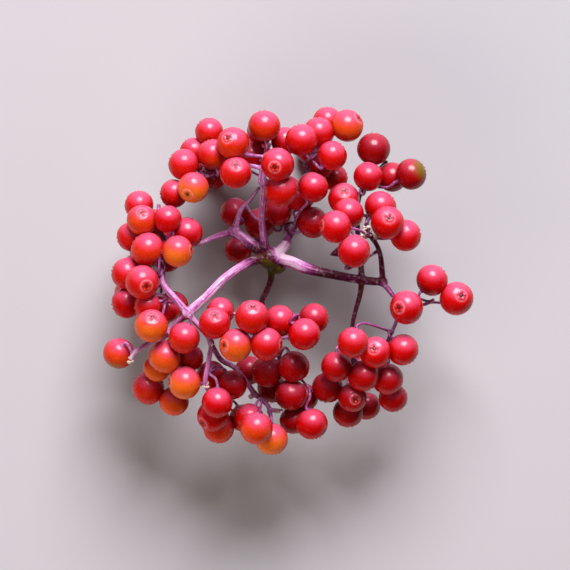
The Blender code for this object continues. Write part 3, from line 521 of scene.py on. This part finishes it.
def leaning_pairs(berries):
    """The closest pairs that join up the berries of each spray, as index pairs."""
    near = []
    for (i, first), (j, second) in combinations(enumerate(berries), 2):
        if first.spray != second.spray:
            continue
        between = first.centre - second.centre
        gap = between.length - contact(first, second)
        plan = between.xy.length - contact(first, second)
        if gap < LEAN_REACH and (plan < LEAN_SIDEWAYS or not (first.shows and second.shows)):
            near.append((gap, i, j))
    group = list(range(len(berries)))
    pairs = set()
    for _, i, j in sorted(near):
        if group[i] != group[j]:
            pairs.add((i, j))
            old = group[j]
            group = [group[i] if mark == old else mark for mark in group]
    return pairs


def part_berries(berries, pairs, moves):
    """Adds the moves that part berries and lean the pairs together."""
    for (i, first), (j, second) in combinations(enumerate(berries), 2):
        between = second.centre - first.centre
        if between.length > TWO_BERRIES and (i, j) not in pairs:
            continue
        away = max(between.length, LEAST_LENGTH)
        short = contact(first, second) - away
        if short > 0 or (i, j) in pairs:
            push = between * (short / away / 2)
            moves[i] -= push
            moves[j] += push


def part_from_twigs(berries, paths, moves):
    """Adds the moves that keep berries clear of arms and twigs."""
    for i, berry in enumerate(berries):
        for path in paths:
            away, place, thick = nearest_on(path, berry.centre)
            short = berry.radius + thick + TWIG_GAP - away
            if short > 0:
                moves[i] += (berry.centre - place) * (short / max(away, LEAST_LENGTH))


def take_move(berry, move, homing):
    """Moves a berry; one that shows moves mostly in height and stays near its place."""
    pull = berry.home - berry.centre
    berry.centre += move * (SHOWN_GIVE if berry.shows else HIDDEN_GIVE)
    if homing:
        berry.centre += pull * HOME_PULL
    drift = (berry.centre - berry.home).xy
    if berry.shows and drift.length > SHOWN_DRIFT:
        berry.centre.xy = berry.home.xy + drift.normalized() * SHOWN_DRIFT
    berry.centre.z = max(berry.centre.z, lowest_centre(berry.radius))


def settle(berries, paths):
    """Moves crowded berries apart and leans near ones of a spray together."""
    pairs = leaning_pairs(berries)
    for step in range(SETTLE_STEPS):
        moves = [Vector() for _ in berries]
        part_berries(berries, pairs, moves)
        part_from_twigs(berries, paths, moves)
        for berry, move in zip(berries, moves):
            if not berry.rests:
                take_move(berry, move, step < SETTLE_STEPS * HOME_SHARE)


def covered(berries, x, y, radius):
    """True where the berries that show hide a berry at this place from the face."""
    shown = [berry for berry in berries if berry.shows]
    turns = [math.tau * k / RIM_SPOTS for k in range(RIM_SPOTS)]
    rim = [(0.0, 0.0)]
    rim += [(math.cos(turn) * RIM_SHARE, math.sin(turn) * RIM_SHARE) for turn in turns]
    for dx, dy in rim:
        spot = (x + dx * radius, y + dy * radius)
        if not any(math.dist(spot, berry.centre[:2]) < berry.radius for berry in shown):
            return False
    return True


def try_hidden(berries, draw):
    """A berry against another, any way round it and mostly lower."""
    hidden = [berry for berry in berries if not berry.shows]
    host = draw.choice(berries if draw.random() < ANY_HOST_SHARE else hidden)
    radius = draw.uniform(*HIDDEN_RADII)
    turn = draw.uniform(0.0, math.tau)
    rise = draw.uniform(*HIDDEN_RISE)
    flat = math.sqrt(1.0 - rise * rise)
    away = Vector((math.cos(turn) * flat, math.sin(turn) * flat, rise))
    new = Berry(host.spray, host.centre, radius, shows=False)
    new.centre += away * (contact(host, new) + HOST_GAP)
    new.home = new.centre.copy()
    new.tone = HIDDEN_TONES[0] + (HIDDEN_TONES[1] - HIDDEN_TONES[0]) * (turn / math.tau)
    return new


def fits(new, berries, paths):
    """True where a berry is at the back, out of sight and clear of all else."""
    x, y, z = new.centre
    floor = max(dome_height(x, y, -BACK_DROP), lowest_centre(new.radius) + HIDDEN_LIFT)
    if not floor < z < floor + HIDDEN_BAND or not covered(berries, x, y, new.radius):
        return False
    if any((new.centre - other.centre).length < contact(new, other) for other in berries):
        return False
    room = new.radius + TWIG_RADIUS + TWIG_GAP
    return all(nearest_on(path, new.centre)[0] >= room for path in paths)


def add_hidden(berries, paths):
    """Adds the berries at the back, each against another and hidden from the face."""
    draw = random.Random(HIDDEN_SEED)
    wanted = len(berries) + HIDDEN_BERRIES
    for _ in range(HIDDEN_TRIES):
        new = try_hidden(berries, draw)
        if fits(new, berries, paths):
            berries.append(new)
        if len(berries) == wanted:
            break


def crown_way(berry, knot):
    """The way the crown faces: as seen, or else away from the knot and outward."""
    if berry.crown:
        return berry.crown
    away = (berry.centre - knot).normalized()
    if berry.shows:
        outward = Vector((*(berry.centre.xy - Vector(HUB_TO_MIDDLE)), 0.0)).normalized()
        away = away + outward * OUTWARD_SHARE
        away.z = min(away.z, TURNED_DOWN * away.xy.length)
    return away.normalized()


def pedicel_path(berry, berries, knots):
    """The clearest way from the spray's twigs to the back of a berry, by one bend."""
    others = [other for other in berries if other is not berry]
    centres = numpy.array([other.centre for other in others])
    rooms = numpy.array([other.radius for other in others]) + PEDICEL_RADIUS + STEM_CLEARANCE
    room = (berry.radius + STEM_CLEARANCE) * FACET_GROWTH + PEDICEL_SHORT
    best = None
    for knot in knots:
        facing = crown_way(berry, knot)
        end = berry.centre - facing * room
        side = facing.orthogonal().normalized()
        for ring, turn in PEDICEL_BENDS:
            angle = turn * math.tau / BEND_TURNS
            lean = (side * math.cos(angle) + facing.cross(side) * math.sin(angle)) * ring
            middle = knot.lerp(end, BEND_PLACE) + (lean - facing) / 2
            legs = ((knot, middle), (middle, end))
            spots = [start.lerp(stop, k / LEG_SPOTS) for start, stop in legs for k in range(LEG_SPOTS)]
            gaps = numpy.linalg.norm(numpy.array(spots)[:, None] - centres[None], axis=2) - rooms
            cost = (middle - knot).length + (end - middle).length + ring * BEND_COST
            cost -= numpy.minimum(gaps, 0.0).sum() * MEETING_COST
            if best is None or cost < best[0]:
                best = (cost, [knot, middle, end])
    return best[1]


def give_pedicels(berries, paths):
    """Gives each berry its pedicel from the twigs of its spray, and the way it faces."""
    for berry in berries:
        knots = []
        for path, sprays in paths:
            if berry.spray in sprays:
                joints = [Vector(point[:3]) for point in path]
                knots += [(start + end) / 2 for start, end in zip(joints, joints[1:])]
        knots.sort(key=lambda knot: (knot - berry.centre).length)
        berry.pedicel = pedicel_path(berry, berries, knots[:NEAR_KNOTS])
        berry.facing = crown_way(berry, berry.pedicel[0])


def place_berries(paths):
    """All the berries at rest against each other and the twigs."""
    axes = [path for path, _ in paths]
    berries = shown_berries()
    settle(berries, axes)
    add_hidden(berries, axes)
    settle(berries, axes)
    give_pedicels(berries, paths)
    return berries


def add_object(name, data):
    """A new object in the scene."""
    made = bpy.data.objects.new(name, data)
    bpy.context.scene.collection.objects.link(made)
    return made


def mesh_of(name, shape):
    """The mesh of a finished shape."""
    mesh = bpy.data.meshes.new(name)
    shape.to_mesh(mesh)
    shape.free()
    return mesh


def take_apart(mesh):
    """The vertices and faces of a mesh that isn't needed any more."""
    verts = [vert.co.copy() for vert in mesh.vertices]
    faces = [tuple(face.vertices) for face in mesh.polygons]
    bpy.data.meshes.remove(mesh)
    return verts, faces


def new_piece(name, verts, faces, material, values):
    """A smooth piece from vertices in millimetres from the hub, with its attributes."""
    mesh = bpy.data.meshes.new(name)
    shift = numpy.array([-HUB_TO_MIDDLE[0], -HUB_TO_MIDDLE[1], HUB_HEIGHT])
    mesh.from_pydata(((numpy.asarray(verts) + shift) * MM).tolist(), [], faces)
    mesh.shade_smooth()
    set_values(mesh, values)
    mesh.materials.append(material)
    piece = add_object(name, mesh)
    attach(piece, "root")
    return piece


def set_values(mesh, values):
    """Writes each named array as an attribute on the points of a mesh."""
    for name, data in values.items():
        data = numpy.asarray(data, dtype=numpy.float32)
        kind, key = ("FLOAT", "value") if data.ndim == 1 else ("FLOAT_VECTOR", "vector")
        mesh.attributes.new(name, kind, "POINT").data.foreach_set(key, data.ravel())


# The berries

def berry_grid():
    """Angles from the crown and round it for each point of a berry, and its faces."""
    rings = [math.radians(degrees) for degrees in CROWN_RINGS + BODY_RINGS]
    spots = [(0.0, 0.0)]
    spots += [(ring, math.tau * side / BERRY_SIDES) for ring in rings for side in range(BERRY_SIDES)]
    spots.append((math.pi, 0.0))
    faces = []
    for side in range(BERRY_SIDES):
        after = (side + 1) % BERRY_SIDES
        faces.append((0, 1 + side, 1 + after))
        for ring in range(len(rings) - 1):
            upper = 1 + ring * BERRY_SIDES
            lower = upper + BERRY_SIDES
            faces.append((upper + side, lower + side, lower + after, upper + after))
        upper = len(spots) - 1 - BERRY_SIDES
        faces.append((upper + side, len(spots) - 1, upper + after))
    polar, round_it = numpy.array(spots).T
    return polar, round_it, faces


def ramp(values, start, end):
    """Rises smoothly from 0 at start to 1 at end; start may be the larger."""
    share = numpy.clip((values - start) / (end - start), 0.0, 1.0)
    return share * share * (3.0 - 2.0 * share)


def hump(values, middle, width):
    return numpy.exp(-(((values - middle) / width) ** 2))


def crown_relief(polar, round_it, draw):
    """How far out each point is, as a share of the radius, and the crown's masks."""
    degrees = numpy.degrees(polar)
    forms = {name: hump(degrees, *angles) for name, (_, *angles) in CROWN_HUMPS.items()}
    forms |= {name: ramp(degrees, *angles) for name, (_, *angles) in CROWN_SLOPES.items()}
    lobes = numpy.cos(CROWN_LOBES * round_it + draw.uniform(0.0, math.tau))
    forms["tip"] *= (0.5 + 0.5 * lobes) ** 2
    reach = 1.0 - BERRY_FLATNESS * numpy.cos(polar) ** 2
    for name, (height, *_) in (CROWN_HUMPS | CROWN_SLOPES).items():
        reach += height * forms[name]
    lump = draw.uniform(0.0, math.tau)
    reach += OVAL_LUMP * numpy.sin(2 * round_it + lump) * numpy.sin(polar) ** 2
    reach += UNEVEN_LUMP * numpy.sin(3 * round_it + 2 * lump) * numpy.sin(2 * polar)
    return reach, numpy.stack([forms[name] for name in ("tip", "pit", "ring")], axis=1)


def berry_points(berry, polar, round_it, draw):
    """The points of one berry, in millimetres, and the values its skin is coloured by."""
    reach, crown = crown_relief(polar, round_it, draw)
    side = berry.facing.orthogonal().normalized()
    other = berry.facing.cross(side)
    ways = numpy.outer(numpy.cos(polar), berry.facing)
    ways += numpy.outer(numpy.sin(polar) * numpy.cos(round_it), side)
    ways += numpy.outer(numpy.sin(polar) * numpy.sin(round_it), other)
    points = numpy.array(berry.centre) + ways * (reach * berry.radius)[:, None]
    return points, {"crown": crown, "mark": numpy.full(len(ways), draw.random()), **tones(berry, ways)}


def tones(berry, ways):
    """How ripe a berry is, with painted shade on dark ones, its painted pink sheen on the lit side, partly
    sun blush, and how olive it is, each way from its centre.
    """
    shade = LEAST_ORANGE + (1.0 - LEAST_ORANGE) * ramp(ways @ numpy.array(SHADE_SIDE), *SHADE_SPREAD)
    # Painted pink sheen on the side facing the key light, partly sun blush, weaker on dark berries
    sheen_and_blush = ramp(ways @ numpy.array(LIT_SIDE), *SHEEN_SPREAD) * (1.0 + min(berry.tone, 0.0))
    olive = ramp(ways @ numpy.array(OLIVE_SIDES.get(berry.place, (0, 0, 0))), *OLIVE_SPREAD)
    tone = shade * berry.tone if berry.tone > 0 else numpy.full(len(ways), berry.tone)
    return {"tone": tone, "sheen_and_blush": sheen_and_blush, "olive": olive}


def press_flat(points, berry, berries):
    """Flattens a berry where it presses on others and on the surface."""
    for other in berries:
        between = other.centre - berry.centre
        away = between.length
        if other is berry or away >= berry.radius + other.radius:
            continue
        reach = (away**2 + berry.radius**2 - other.radius**2) / (2 * away)
        way = numpy.array(between / away)
        over = (points - numpy.array(berry.centre)) @ way - (reach - CONTACT_GAP)
        points -= numpy.outer(numpy.maximum(over, 0.0), way)
    points[:, 2] = numpy.maximum(points[:, 2], -HUB_HEIGHT)


def build_berries(berries):
    """One piece for each spray, which stands for all the nodes of that spray."""
    polar, round_it, grid = berry_grid()
    material = berry_material()
    draw = random.Random(LOOK_SEED)
    for spray in SPRAYS:
        verts, faces, skins = [], [], []
        for berry in [berry for berry in berries if berry.spray == spray]:
            points, skin = berry_points(berry, polar, round_it, draw)
            press_flat(points, berry, berries)
            faces += [tuple(len(verts) * len(points) + corner for corner in face) for face in grid]
            verts.append(points)
            skins.append(skin)
        values = {name: numpy.concatenate([skin[name] for skin in skins]) for name in skins[0]}
        points = numpy.concatenate(verts)
        piece = new_piece("fine_" + spray, points, faces, material, values)
        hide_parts(*[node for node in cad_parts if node_spray(node) == spray])


def node_spray(node):
    """The spray that a node of berries belongs to; its name may end in _b, _c and so on."""
    name = node.removeprefix("berries_")
    return name if name in SPRAYS else name[:-2]


# The stem

def frames_along(path):
    """(place, tangent, side, other side) at each point of a path, without twist."""
    places = [Vector(point[:3]) for point in path]
    side = (places[1] - places[0]).orthogonal()
    frames = []
    for i, place in enumerate(places):
        tangent = (places[min(i + 1, len(places) - 1)] - places[max(i - 1, 0)]).normalized()
        side = (side - tangent * side.dot(tangent)).normalized()
        frames.append((place, tangent, side, tangent.cross(side)))
    return frames


def tube_points(path, sides, ridges=0.0, turn=0.0):
    """Vertices and faces of a closed tube round a path, with low ridges along it."""
    verts = []
    for (place, _, side, other), point in zip(frames_along(path), path):
        for k in range(sides):
            angle = math.tau * k / sides
            thick = point[3] * (1.0 + ridges * math.cos(RIDGE_COUNT * angle + turn))
            verts.append(place + (side * math.cos(angle) + other * math.sin(angle)) * thick)
    faces = [tuple(reversed(range(sides)))]
    for low in range(0, len(verts) - sides, sides):
        for k in range(sides):
            after = (k + 1) % sides
            faces.append((low + k, low + after, low + sides + after, low + sides + k))
    faces.append(tuple(range(len(verts) - sides, len(verts))))
    return verts, faces


def fine_paths():
    """The arms, twigs and stalk as smooth paths, each with its tints."""
    stems = [*ARMS.values(), *[(tints, points) for _, tints, points in TWIGS.values()]]
    stems.append((STALK_TINTS, STALK))
    return [(smooth_path(points, STEM_STEPS), tints) for tints, points in stems]


def add_shape(shape, verts, faces):
    made = [shape.verts.new(vert) for vert in verts]
    for face in faces:
        shape.faces.new([made[k] for k in face])


def join_shapes(paths):
    """One mesh, in millimetres, of all the tubes, knots and the bract, still apart."""
    shape = bmesh.new()
    for number, (path, _) in enumerate(paths):
        add_shape(shape, *tube_points(path, STEM_SIDES, STEM_RIDGES, number))
    for x, y, z, radius in KNOTS:
        made = bmesh.ops.create_icosphere(shape, subdivisions=3, radius=radius)["verts"]
        bmesh.ops.translate(shape, verts=made, vec=(x, y, z))
    verts, faces = tube_points(smooth_path(BRACT, STEM_STEPS), STEM_SIDES)
    middle = BRACT[1][2]
    add_shape(shape, [(x, y, middle + (z - middle) * BRACT_THICKNESS) for x, y, z in verts], faces)
    return mesh_of("stem_shapes", shape)


def grow_together(mesh):
    """The mesh made one skin by a voxel remesh, with its corners smoothed."""
    guide = add_object("stem_guide", mesh)
    remesh = guide.modifiers.new("Grow", "REMESH")
    remesh.mode = "VOXEL"
    remesh.voxel_size = STEM_VOXEL
    smooth = guide.modifiers.new("Smooth", "SMOOTH")
    smooth.factor = 0.5
    smooth.iterations = 4
    graph = bpy.context.evaluated_depsgraph_get()
    grown = bpy.data.meshes.new_from_object(guide.evaluated_get(graph))
    bpy.data.objects.remove(guide)
    bpy.data.meshes.remove(mesh)
    return grown


def path_spots(paths):
    """Each point of the paths with its frame, the way walked to it and its tint."""
    spots = []
    for number, (path, tints) in enumerate(paths):
        walked = number * GRAIN_APART / GRAIN_ALONG
        for i, (place, tangent, side, other) in enumerate(frames_along(path)):
            walked += (place - spots[-1][0]).length if i else 0.0
            tint = tints[0] + (tints[1] - tints[0]) * i / (len(path) - 1)
            spots.append((place, tangent, side, other, walked, tint))
    return spots


def stem_values(verts, paths):
    """The grain and tint of each point, from the nearest arm or twig."""
    spots = path_spots(paths)
    tree = KDTree(len(spots))
    for i, spot in enumerate(spots):
        tree.insert(spot[0], i)
    tree.balance()
    grain = []
    tints = []
    for vert in verts:
        place, tangent, side, other, walked, tint = spots[tree.find(vert)[1]]
        away = vert - place
        round_it = Vector((away.dot(side), away.dot(other))).normalized()
        grain.append((*round_it, (walked + away.dot(tangent)) * GRAIN_ALONG))
        # Darker and paler spots; round the hub they partly paint the shade where the arms meet
        for x, y, z, reach, extra in SHADE_AND_TINT_SPOTS:
            tint += extra * math.exp(-(vert - Vector((x, y, z))).length_squared / reach**2)
        tints.append(tint)
    return {"grain": grain, "tint": tints}


def build_stem(berries):
    """The arms, twigs, knots, bract and stalk as one grown body, with the pedicels."""
    material = stem_material()
    paths = fine_paths()
    verts, faces = take_apart(grow_together(join_shapes(paths)))
    piece = new_piece("fine_stem", verts, faces, material, stem_values(verts, paths))
    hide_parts("stem")
    build_pedicels(berries, material)
    build_crumbs(berries)


def pedicel_thickness(share):
    """How thick a pedicel is along its way: it flares at the twig and at the berry."""
    at_twig = max(0.0, 1.0 - share / TWIG_FLARE_END)
    at_berry = max(0.0, (share - BERRY_FLARE_START) / (1.0 - BERRY_FLARE_START))
    return PEDICEL_RADIUS * (1.0 + TWIG_FLARE * at_twig**2 + BERRY_FLARE * at_berry**2)


def build_pedicels(berries, material):
    """A thin pedicel for each berry, from its twig into the dimple of the berry."""
    verts, faces, grain, tints = [], [], [], []
    draw = random.Random(LOOK_SEED)
    turns = [math.tau * k / PEDICEL_SIDES for k in range(PEDICEL_SIDES)]
    for berry in berries:
        tail = berry.pedicel[-1] + berry.facing * (STEM_CLEARANCE + PEDICEL_INTO_BERRY)
        path = smooth_path([(*place, 1.0) for place in (*berry.pedicel, tail)], PEDICEL_STEPS)
        last = len(path) - 1
        path = [(x, y, z, pedicel_thickness(i / last)) for i, (x, y, z, _) in enumerate(path)]
        points, sides = tube_points(path, PEDICEL_SIDES)
        faces += [tuple(len(verts) + corner for corner in face) for face in sides]
        verts += points
        tints += [draw.uniform(*PEDICEL_TINTS)] * len(points)
        start = draw.uniform(*GRAIN_SHIFTS)
        for ring in range(len(path)):
            grain += [(math.cos(turn), math.sin(turn), start + ring * GRAIN_ALONG) for turn in turns]
    piece = new_piece("fine_pedicels", verts, faces, material, {"grain": grain, "tint": tints})
    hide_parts("stem")


def crumb_places(berries):
    """The knots with scraps of flower, and spots on the pedicels of the scrappy one."""
    places = list(CRUMBS)
    for berry in berries:
        start, middle, _ = berry.pedicel
        if (start - Vector(SCRAPPY_KNOT)).length < SCRAPPY_REACH:
            for share in SCRAPPY_PLACES:
                places.append((*start.lerp(middle, share), PEDICEL_RADIUS, SCRAPPY_COUNT))
    return places


def build_crumbs(berries):
    """Dry cream scraps of flower left on the knots, each half sunk in the stem."""
    draw = random.Random(LOOK_SEED)
    shape = bmesh.new()
    for x, y, z, spread, count in crumb_places(berries):
        for _ in range(count):
            way = Vector((draw.uniform(-1, 1), draw.uniform(-1, 1), draw.uniform(0, 1))).normalized()
            radius = draw.uniform(*CRUMB_RADII)
            made = bmesh.ops.create_icosphere(shape, subdivisions=2, radius=radius)["verts"]
            stretch = Vector([draw.uniform(*span) for span in CRUMB_STRETCH])
            for vert in made:
                lumpy = vert.co * stretch * draw.uniform(*CRUMB_LUMPS)
                vert.co = lumpy + Vector((x, y, z)) + way * spread
    verts, faces = take_apart(mesh_of("crumbs", shape))
    new_piece("flower_scraps", verts, faces, scrap_material(), {})


# Materials

def set_input(tree, socket, value):
    """Links a socket to an input, or sets it to a number or a colour."""
    if isinstance(value, bpy.types.NodeSocket):
        tree.links.new(value, socket)
    elif socket.type == "RGBA":
        socket.default_value = (*value, 1.0)
    else:
        socket.default_value = value


def set_inputs(tree, node, values):
    """Sets the named inputs of a node."""
    for name, value in values.items():
        set_input(tree, node.inputs[name], value)


def attribute(tree, name, output="Fac"):
    node = tree.nodes.new("ShaderNodeAttribute")
    node.attribute_name = name
    return node.outputs[output]


def object_place(tree):
    return tree.nodes.new("ShaderNodeTexCoord").outputs["Object"]


def noise(tree, vector, scale, detail):
    node = tree.nodes.new("ShaderNodeTexNoise")
    set_inputs(tree, node, {"Vector": vector, "Scale": scale, "Detail": detail})
    return node.outputs["Fac"]


def maths(tree, operation, *values, clamp=False):
    node = tree.nodes.new("ShaderNodeMath")
    node.operation = operation
    node.use_clamp = clamp
    for socket, value in zip(node.inputs, values):
        set_input(tree, socket, value)
    return node.outputs[0]


def scaled(tree, value, times, plus=0.0, clamp=False):
    """A value times one number, plus another."""
    return maths(tree, "MULTIPLY_ADD", value, times, plus, clamp=clamp)


def swing(tree, value, size):
    """A noise value turned into a swing about zero."""
    return scaled(tree, value, size, -size / 2)


def colour_ramp(tree, factor, stops):
    """A colour ramp through (place, colour) stops."""
    node = tree.nodes.new("ShaderNodeValToRGB")
    set_input(tree, node.inputs["Fac"], factor)
    elements = node.color_ramp.elements
    while len(elements) < len(stops):
        elements.new(0.5)
    for element, (place, colour) in zip(elements, stops):
        element.position = place
        element.color = (*colour, 1.0)
    return node.outputs["Color"]


def paint(tree, under, over, mask, share=1.0):
    """One colour over another where the mask says, covering this share of it at most."""
    node = tree.nodes.new("ShaderNodeMix")
    node.data_type = "RGBA"
    # The colour sockets of a mix are inputs 6 and 7 and output 2
    set_inputs(tree, node, {0: scaled(tree, mask, share), 6: under, 7: over})
    return node.outputs[2]


def bump(tree, height, strength, distance):
    """A normal that follows the given height."""
    node = tree.nodes.new("ShaderNodeBump")
    set_inputs(tree, node, {"Height": height, "Strength": strength, "Distance": distance})
    return node.outputs["Normal"]


def new_material(name):
    material = bpy.data.materials.new(name)
    material.use_nodes = True
    return material, material.node_tree, material.node_tree.nodes["Principled BSDF"]


# Skin from dark red at 0, for overripe berries and as painted shade on berries deep in the bunch, through
# red at the middle to orange at 1
BERRY_COLOURS = [
    (0.0, (0.12, 0.0004, 0.0004)), (0.25, (0.30, 0.0004, 0.0004)), (0.5, (0.44, 0.0006, 0.0005)),
    (0.62, (0.47, 0.006, 0.001)), (0.8, (0.60, 0.065, 0.004)), (1.0, (0.64, 0.17, 0.012)),
]
# Colour of the painted sheen on the side facing the key light, partly standing for sun blush
SHEEN_AND_BLUSH_PINK = (0.66, 0.085, 0.19)
CALYX_BROWN = (0.30, 0.06, 0.035)
PIT_BROWN = (0.06, 0.006, 0.004)
# Colour of the painted highlight on the raised ring round the crown
RING_HIGHLIGHT_PINK = (0.80, 0.26, 0.32)
OLIVE_SKIN = (0.13, 0.11, 0.005)


def berry_material():
    """Thin glossy skin, mottled, dark red as painted shade on berries deep in the bunch as well as on
    overripe ones, with a painted pink sheen on the side facing the key light that partly stands for sun
    blush, a painted highlight on the ring round the crown, and a dry brown crown.
    """
    material, tree, shader = new_material("elderberry_skin")
    place = object_place(tree)
    blotch = noise(tree, place, scale=420.0, detail=3.0)
    speck = noise(tree, place, scale=2600.0, detail=2.0)
    dents = noise(tree, place, scale=900.0, detail=3.0)
    # The tone, dark both for overripe berries and as painted shade on berries deep in the bunch, with
    # random blotches
    ripe_and_shaded = maths(tree, "ADD", attribute(tree, "tone"), swing(tree, blotch, size=0.4))
    ripe_and_shaded = maths(tree, "ADD", ripe_and_shaded, swing(tree, attribute(tree, "mark"), size=0.14))
    colour = colour_ramp(tree, scaled(tree, ripe_and_shaded, 0.5, 0.5, clamp=True), BERRY_COLOURS)
    # Painted sheen: pinker on the side facing the key light, partly standing for sun blush
    colour = paint(tree, colour, SHEEN_AND_BLUSH_PINK, attribute(tree, "sheen_and_blush"), share=0.75)
    colour = paint(tree, colour, OLIVE_SKIN, attribute(tree, "olive"))
    crown = tree.nodes.new("ShaderNodeSeparateXYZ")
    set_inputs(tree, crown, {"Vector": attribute(tree, "crown", "Vector")})
    tip, pit, ring = crown.outputs
    # Painted highlight on the raised ring round the crown
    colour = paint(tree, colour, RING_HIGHLIGHT_PINK, ring, share=0.5)
    colour = paint(tree, colour, CALYX_BROWN, tip, share=0.85)
    colour = paint(tree, colour, PIT_BROWN, pit, share=0.85)
    set_inputs(tree, shader, {
        "Base Color": colour,
        "Roughness": scaled(tree, speck, times=0.14, plus=0.19),
        "IOR": 1.4,
        "Normal": bump(tree, dents, strength=0.16, distance=0.0002),
        "Subsurface Weight": 0.35,
        "Subsurface Radius": (1.0, 0.12, 0.06),
        "Subsurface Scale": 0.0018,
    })
    return material


# Bark from pale at 0 through lilac, dark purple and brown to olive at 1
STEM_COLOURS = [
    (0.0, (0.66, 0.48, 0.60)), (0.16, (0.48, 0.18, 0.40)), (0.34, (0.24, 0.04, 0.17)),
    (0.5, (0.07, 0.002, 0.032)), (0.78, (0.06, 0.006, 0.004)), (1.0, (0.07, 0.06, 0.003)),
]
STEM_FLECK = (0.80, 0.68, 0.76)


def stem_material():
    """Soft bark with streaks along it, and pale flecks where it isn't dark."""
    material, tree, shader = new_material("elderberry_stem")
    streak = noise(tree, attribute(tree, "grain", "Vector"), scale=2.6, detail=4.0)
    fleck = noise(tree, object_place(tree), scale=2200.0, detail=3.0)
    level = maths(tree, "ADD", attribute(tree, "tint"), swing(tree, streak, size=1.8))
    level = scaled(tree, level, times=0.5, clamp=True)
    pale = scaled(tree, fleck, times=6.0, plus=-3.2, clamp=True)
    pale = maths(tree, "MULTIPLY", pale, maths(tree, "SUBTRACT", 1.0, level, clamp=True))
    set_inputs(tree, shader, {
        "Base Color": paint(tree, colour_ramp(tree, level, STEM_COLOURS), STEM_FLECK, pale, share=0.5),
        "Roughness": scaled(tree, streak, times=0.25, plus=0.32),
        "IOR": 1.28,
        "Normal": bump(tree, streak, strength=0.35, distance=0.00008),
        "Subsurface Weight": 0.1,
        "Subsurface Radius": (0.8, 0.4, 0.6),
        "Subsurface Scale": 0.0006,
    })
    return material


# Scraps from brown to cream
SCRAP_COLOURS = [(0.35, (0.20, 0.09, 0.05)), (0.55, (0.78, 0.68, 0.55))]


def scrap_material():
    """Dry flower scraps, cream with brown specks."""
    material, tree, shader = new_material("flower_scrap")
    speck = noise(tree, object_place(tree), scale=5200.0, detail=3.0)
    set_inputs(tree, shader, {
        "Base Color": colour_ramp(tree, speck, SCRAP_COLOURS),
        "Roughness": 0.8,
        "Normal": bump(tree, speck, strength=0.4, distance=0.00005),
    })
    return material


# The scene around the cluster

def add_floor():
    material, tree, shader = new_material("pale_floor")
    set_inputs(tree, shader, {"Base Color": (0.38, 0.38, 0.39), "Roughness": 0.8})
    shape = bmesh.new()
    bmesh.ops.create_grid(shape, x_segments=1, y_segments=1, size=3.0)
    floor = add_object("floor", mesh_of("floor", shape))
    floor.data.materials.append(material)


def add_light(name, way, distance, size, power, colour):
    """A round area light that looks at the middle of the cluster."""
    data = bpy.data.lights.new(name, "AREA")
    data.shape = "DISK"
    data.size = size
    data.energy = power
    data.color = colour
    light = add_object(name, data)
    light.location = Vector(way).normalized() * distance
    light.rotation_euler = Vector(way).to_track_quat("Z", "Y").to_euler()
    return light


def add_lights():
    """A bright light from the top of the view, and a soft one that doesn't show as a highlight."""
    world = bpy.data.worlds.new("studio")
    world.use_nodes = True
    background = world.node_tree.nodes["Background"]
    set_inputs(world.node_tree, background, {"Color": (1.0, 0.9, 0.9), "Strength": 0.06})
    bpy.context.scene.world = world
    bpy.context.scene.view_settings.view_transform = "Standard"
    add_light("key", way=(0.1, 0.8, 0.72), distance=1.0, size=0.62, power=24.0, colour=(1.0, 0.93, 0.99))
    fill = add_light(
        "fill", way=(-0.6, -0.75, 0.5), distance=1.2, size=1.1, power=11.0, colour=(1.0, 0.88, 0.82)
    )
    fill.visible_glossy = False


def add_camera():
    """Looks straight down, with the photograph's width over the same millimetres."""
    half = PHOTO_PIXELS / 2
    x = (half - HUB_PIXEL[0]) * PIXEL - HUB_TO_MIDDLE[0]
    y = (HUB_PIXEL[1] - half) * PIXEL - HUB_TO_MIDDLE[1]
    data = bpy.data.cameras.new("camera")
    data.sensor_width = SENSOR
    data.lens = SENSOR * (CAMERA_HEIGHT - FRAMED_HEIGHT) / (PHOTO_PIXELS * PIXEL)
    data.clip_start = 0.1
    camera = add_object("camera", data)
    camera.location = Vector((x, y, CAMERA_HEIGHT)) * MM
    bpy.context.scene.camera = camera


def main():
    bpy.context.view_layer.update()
    berries = place_berries(stem_paths())
    build_berries(berries)
    build_stem(berries)
    add_floor()
    add_lights()
    add_camera()


main()
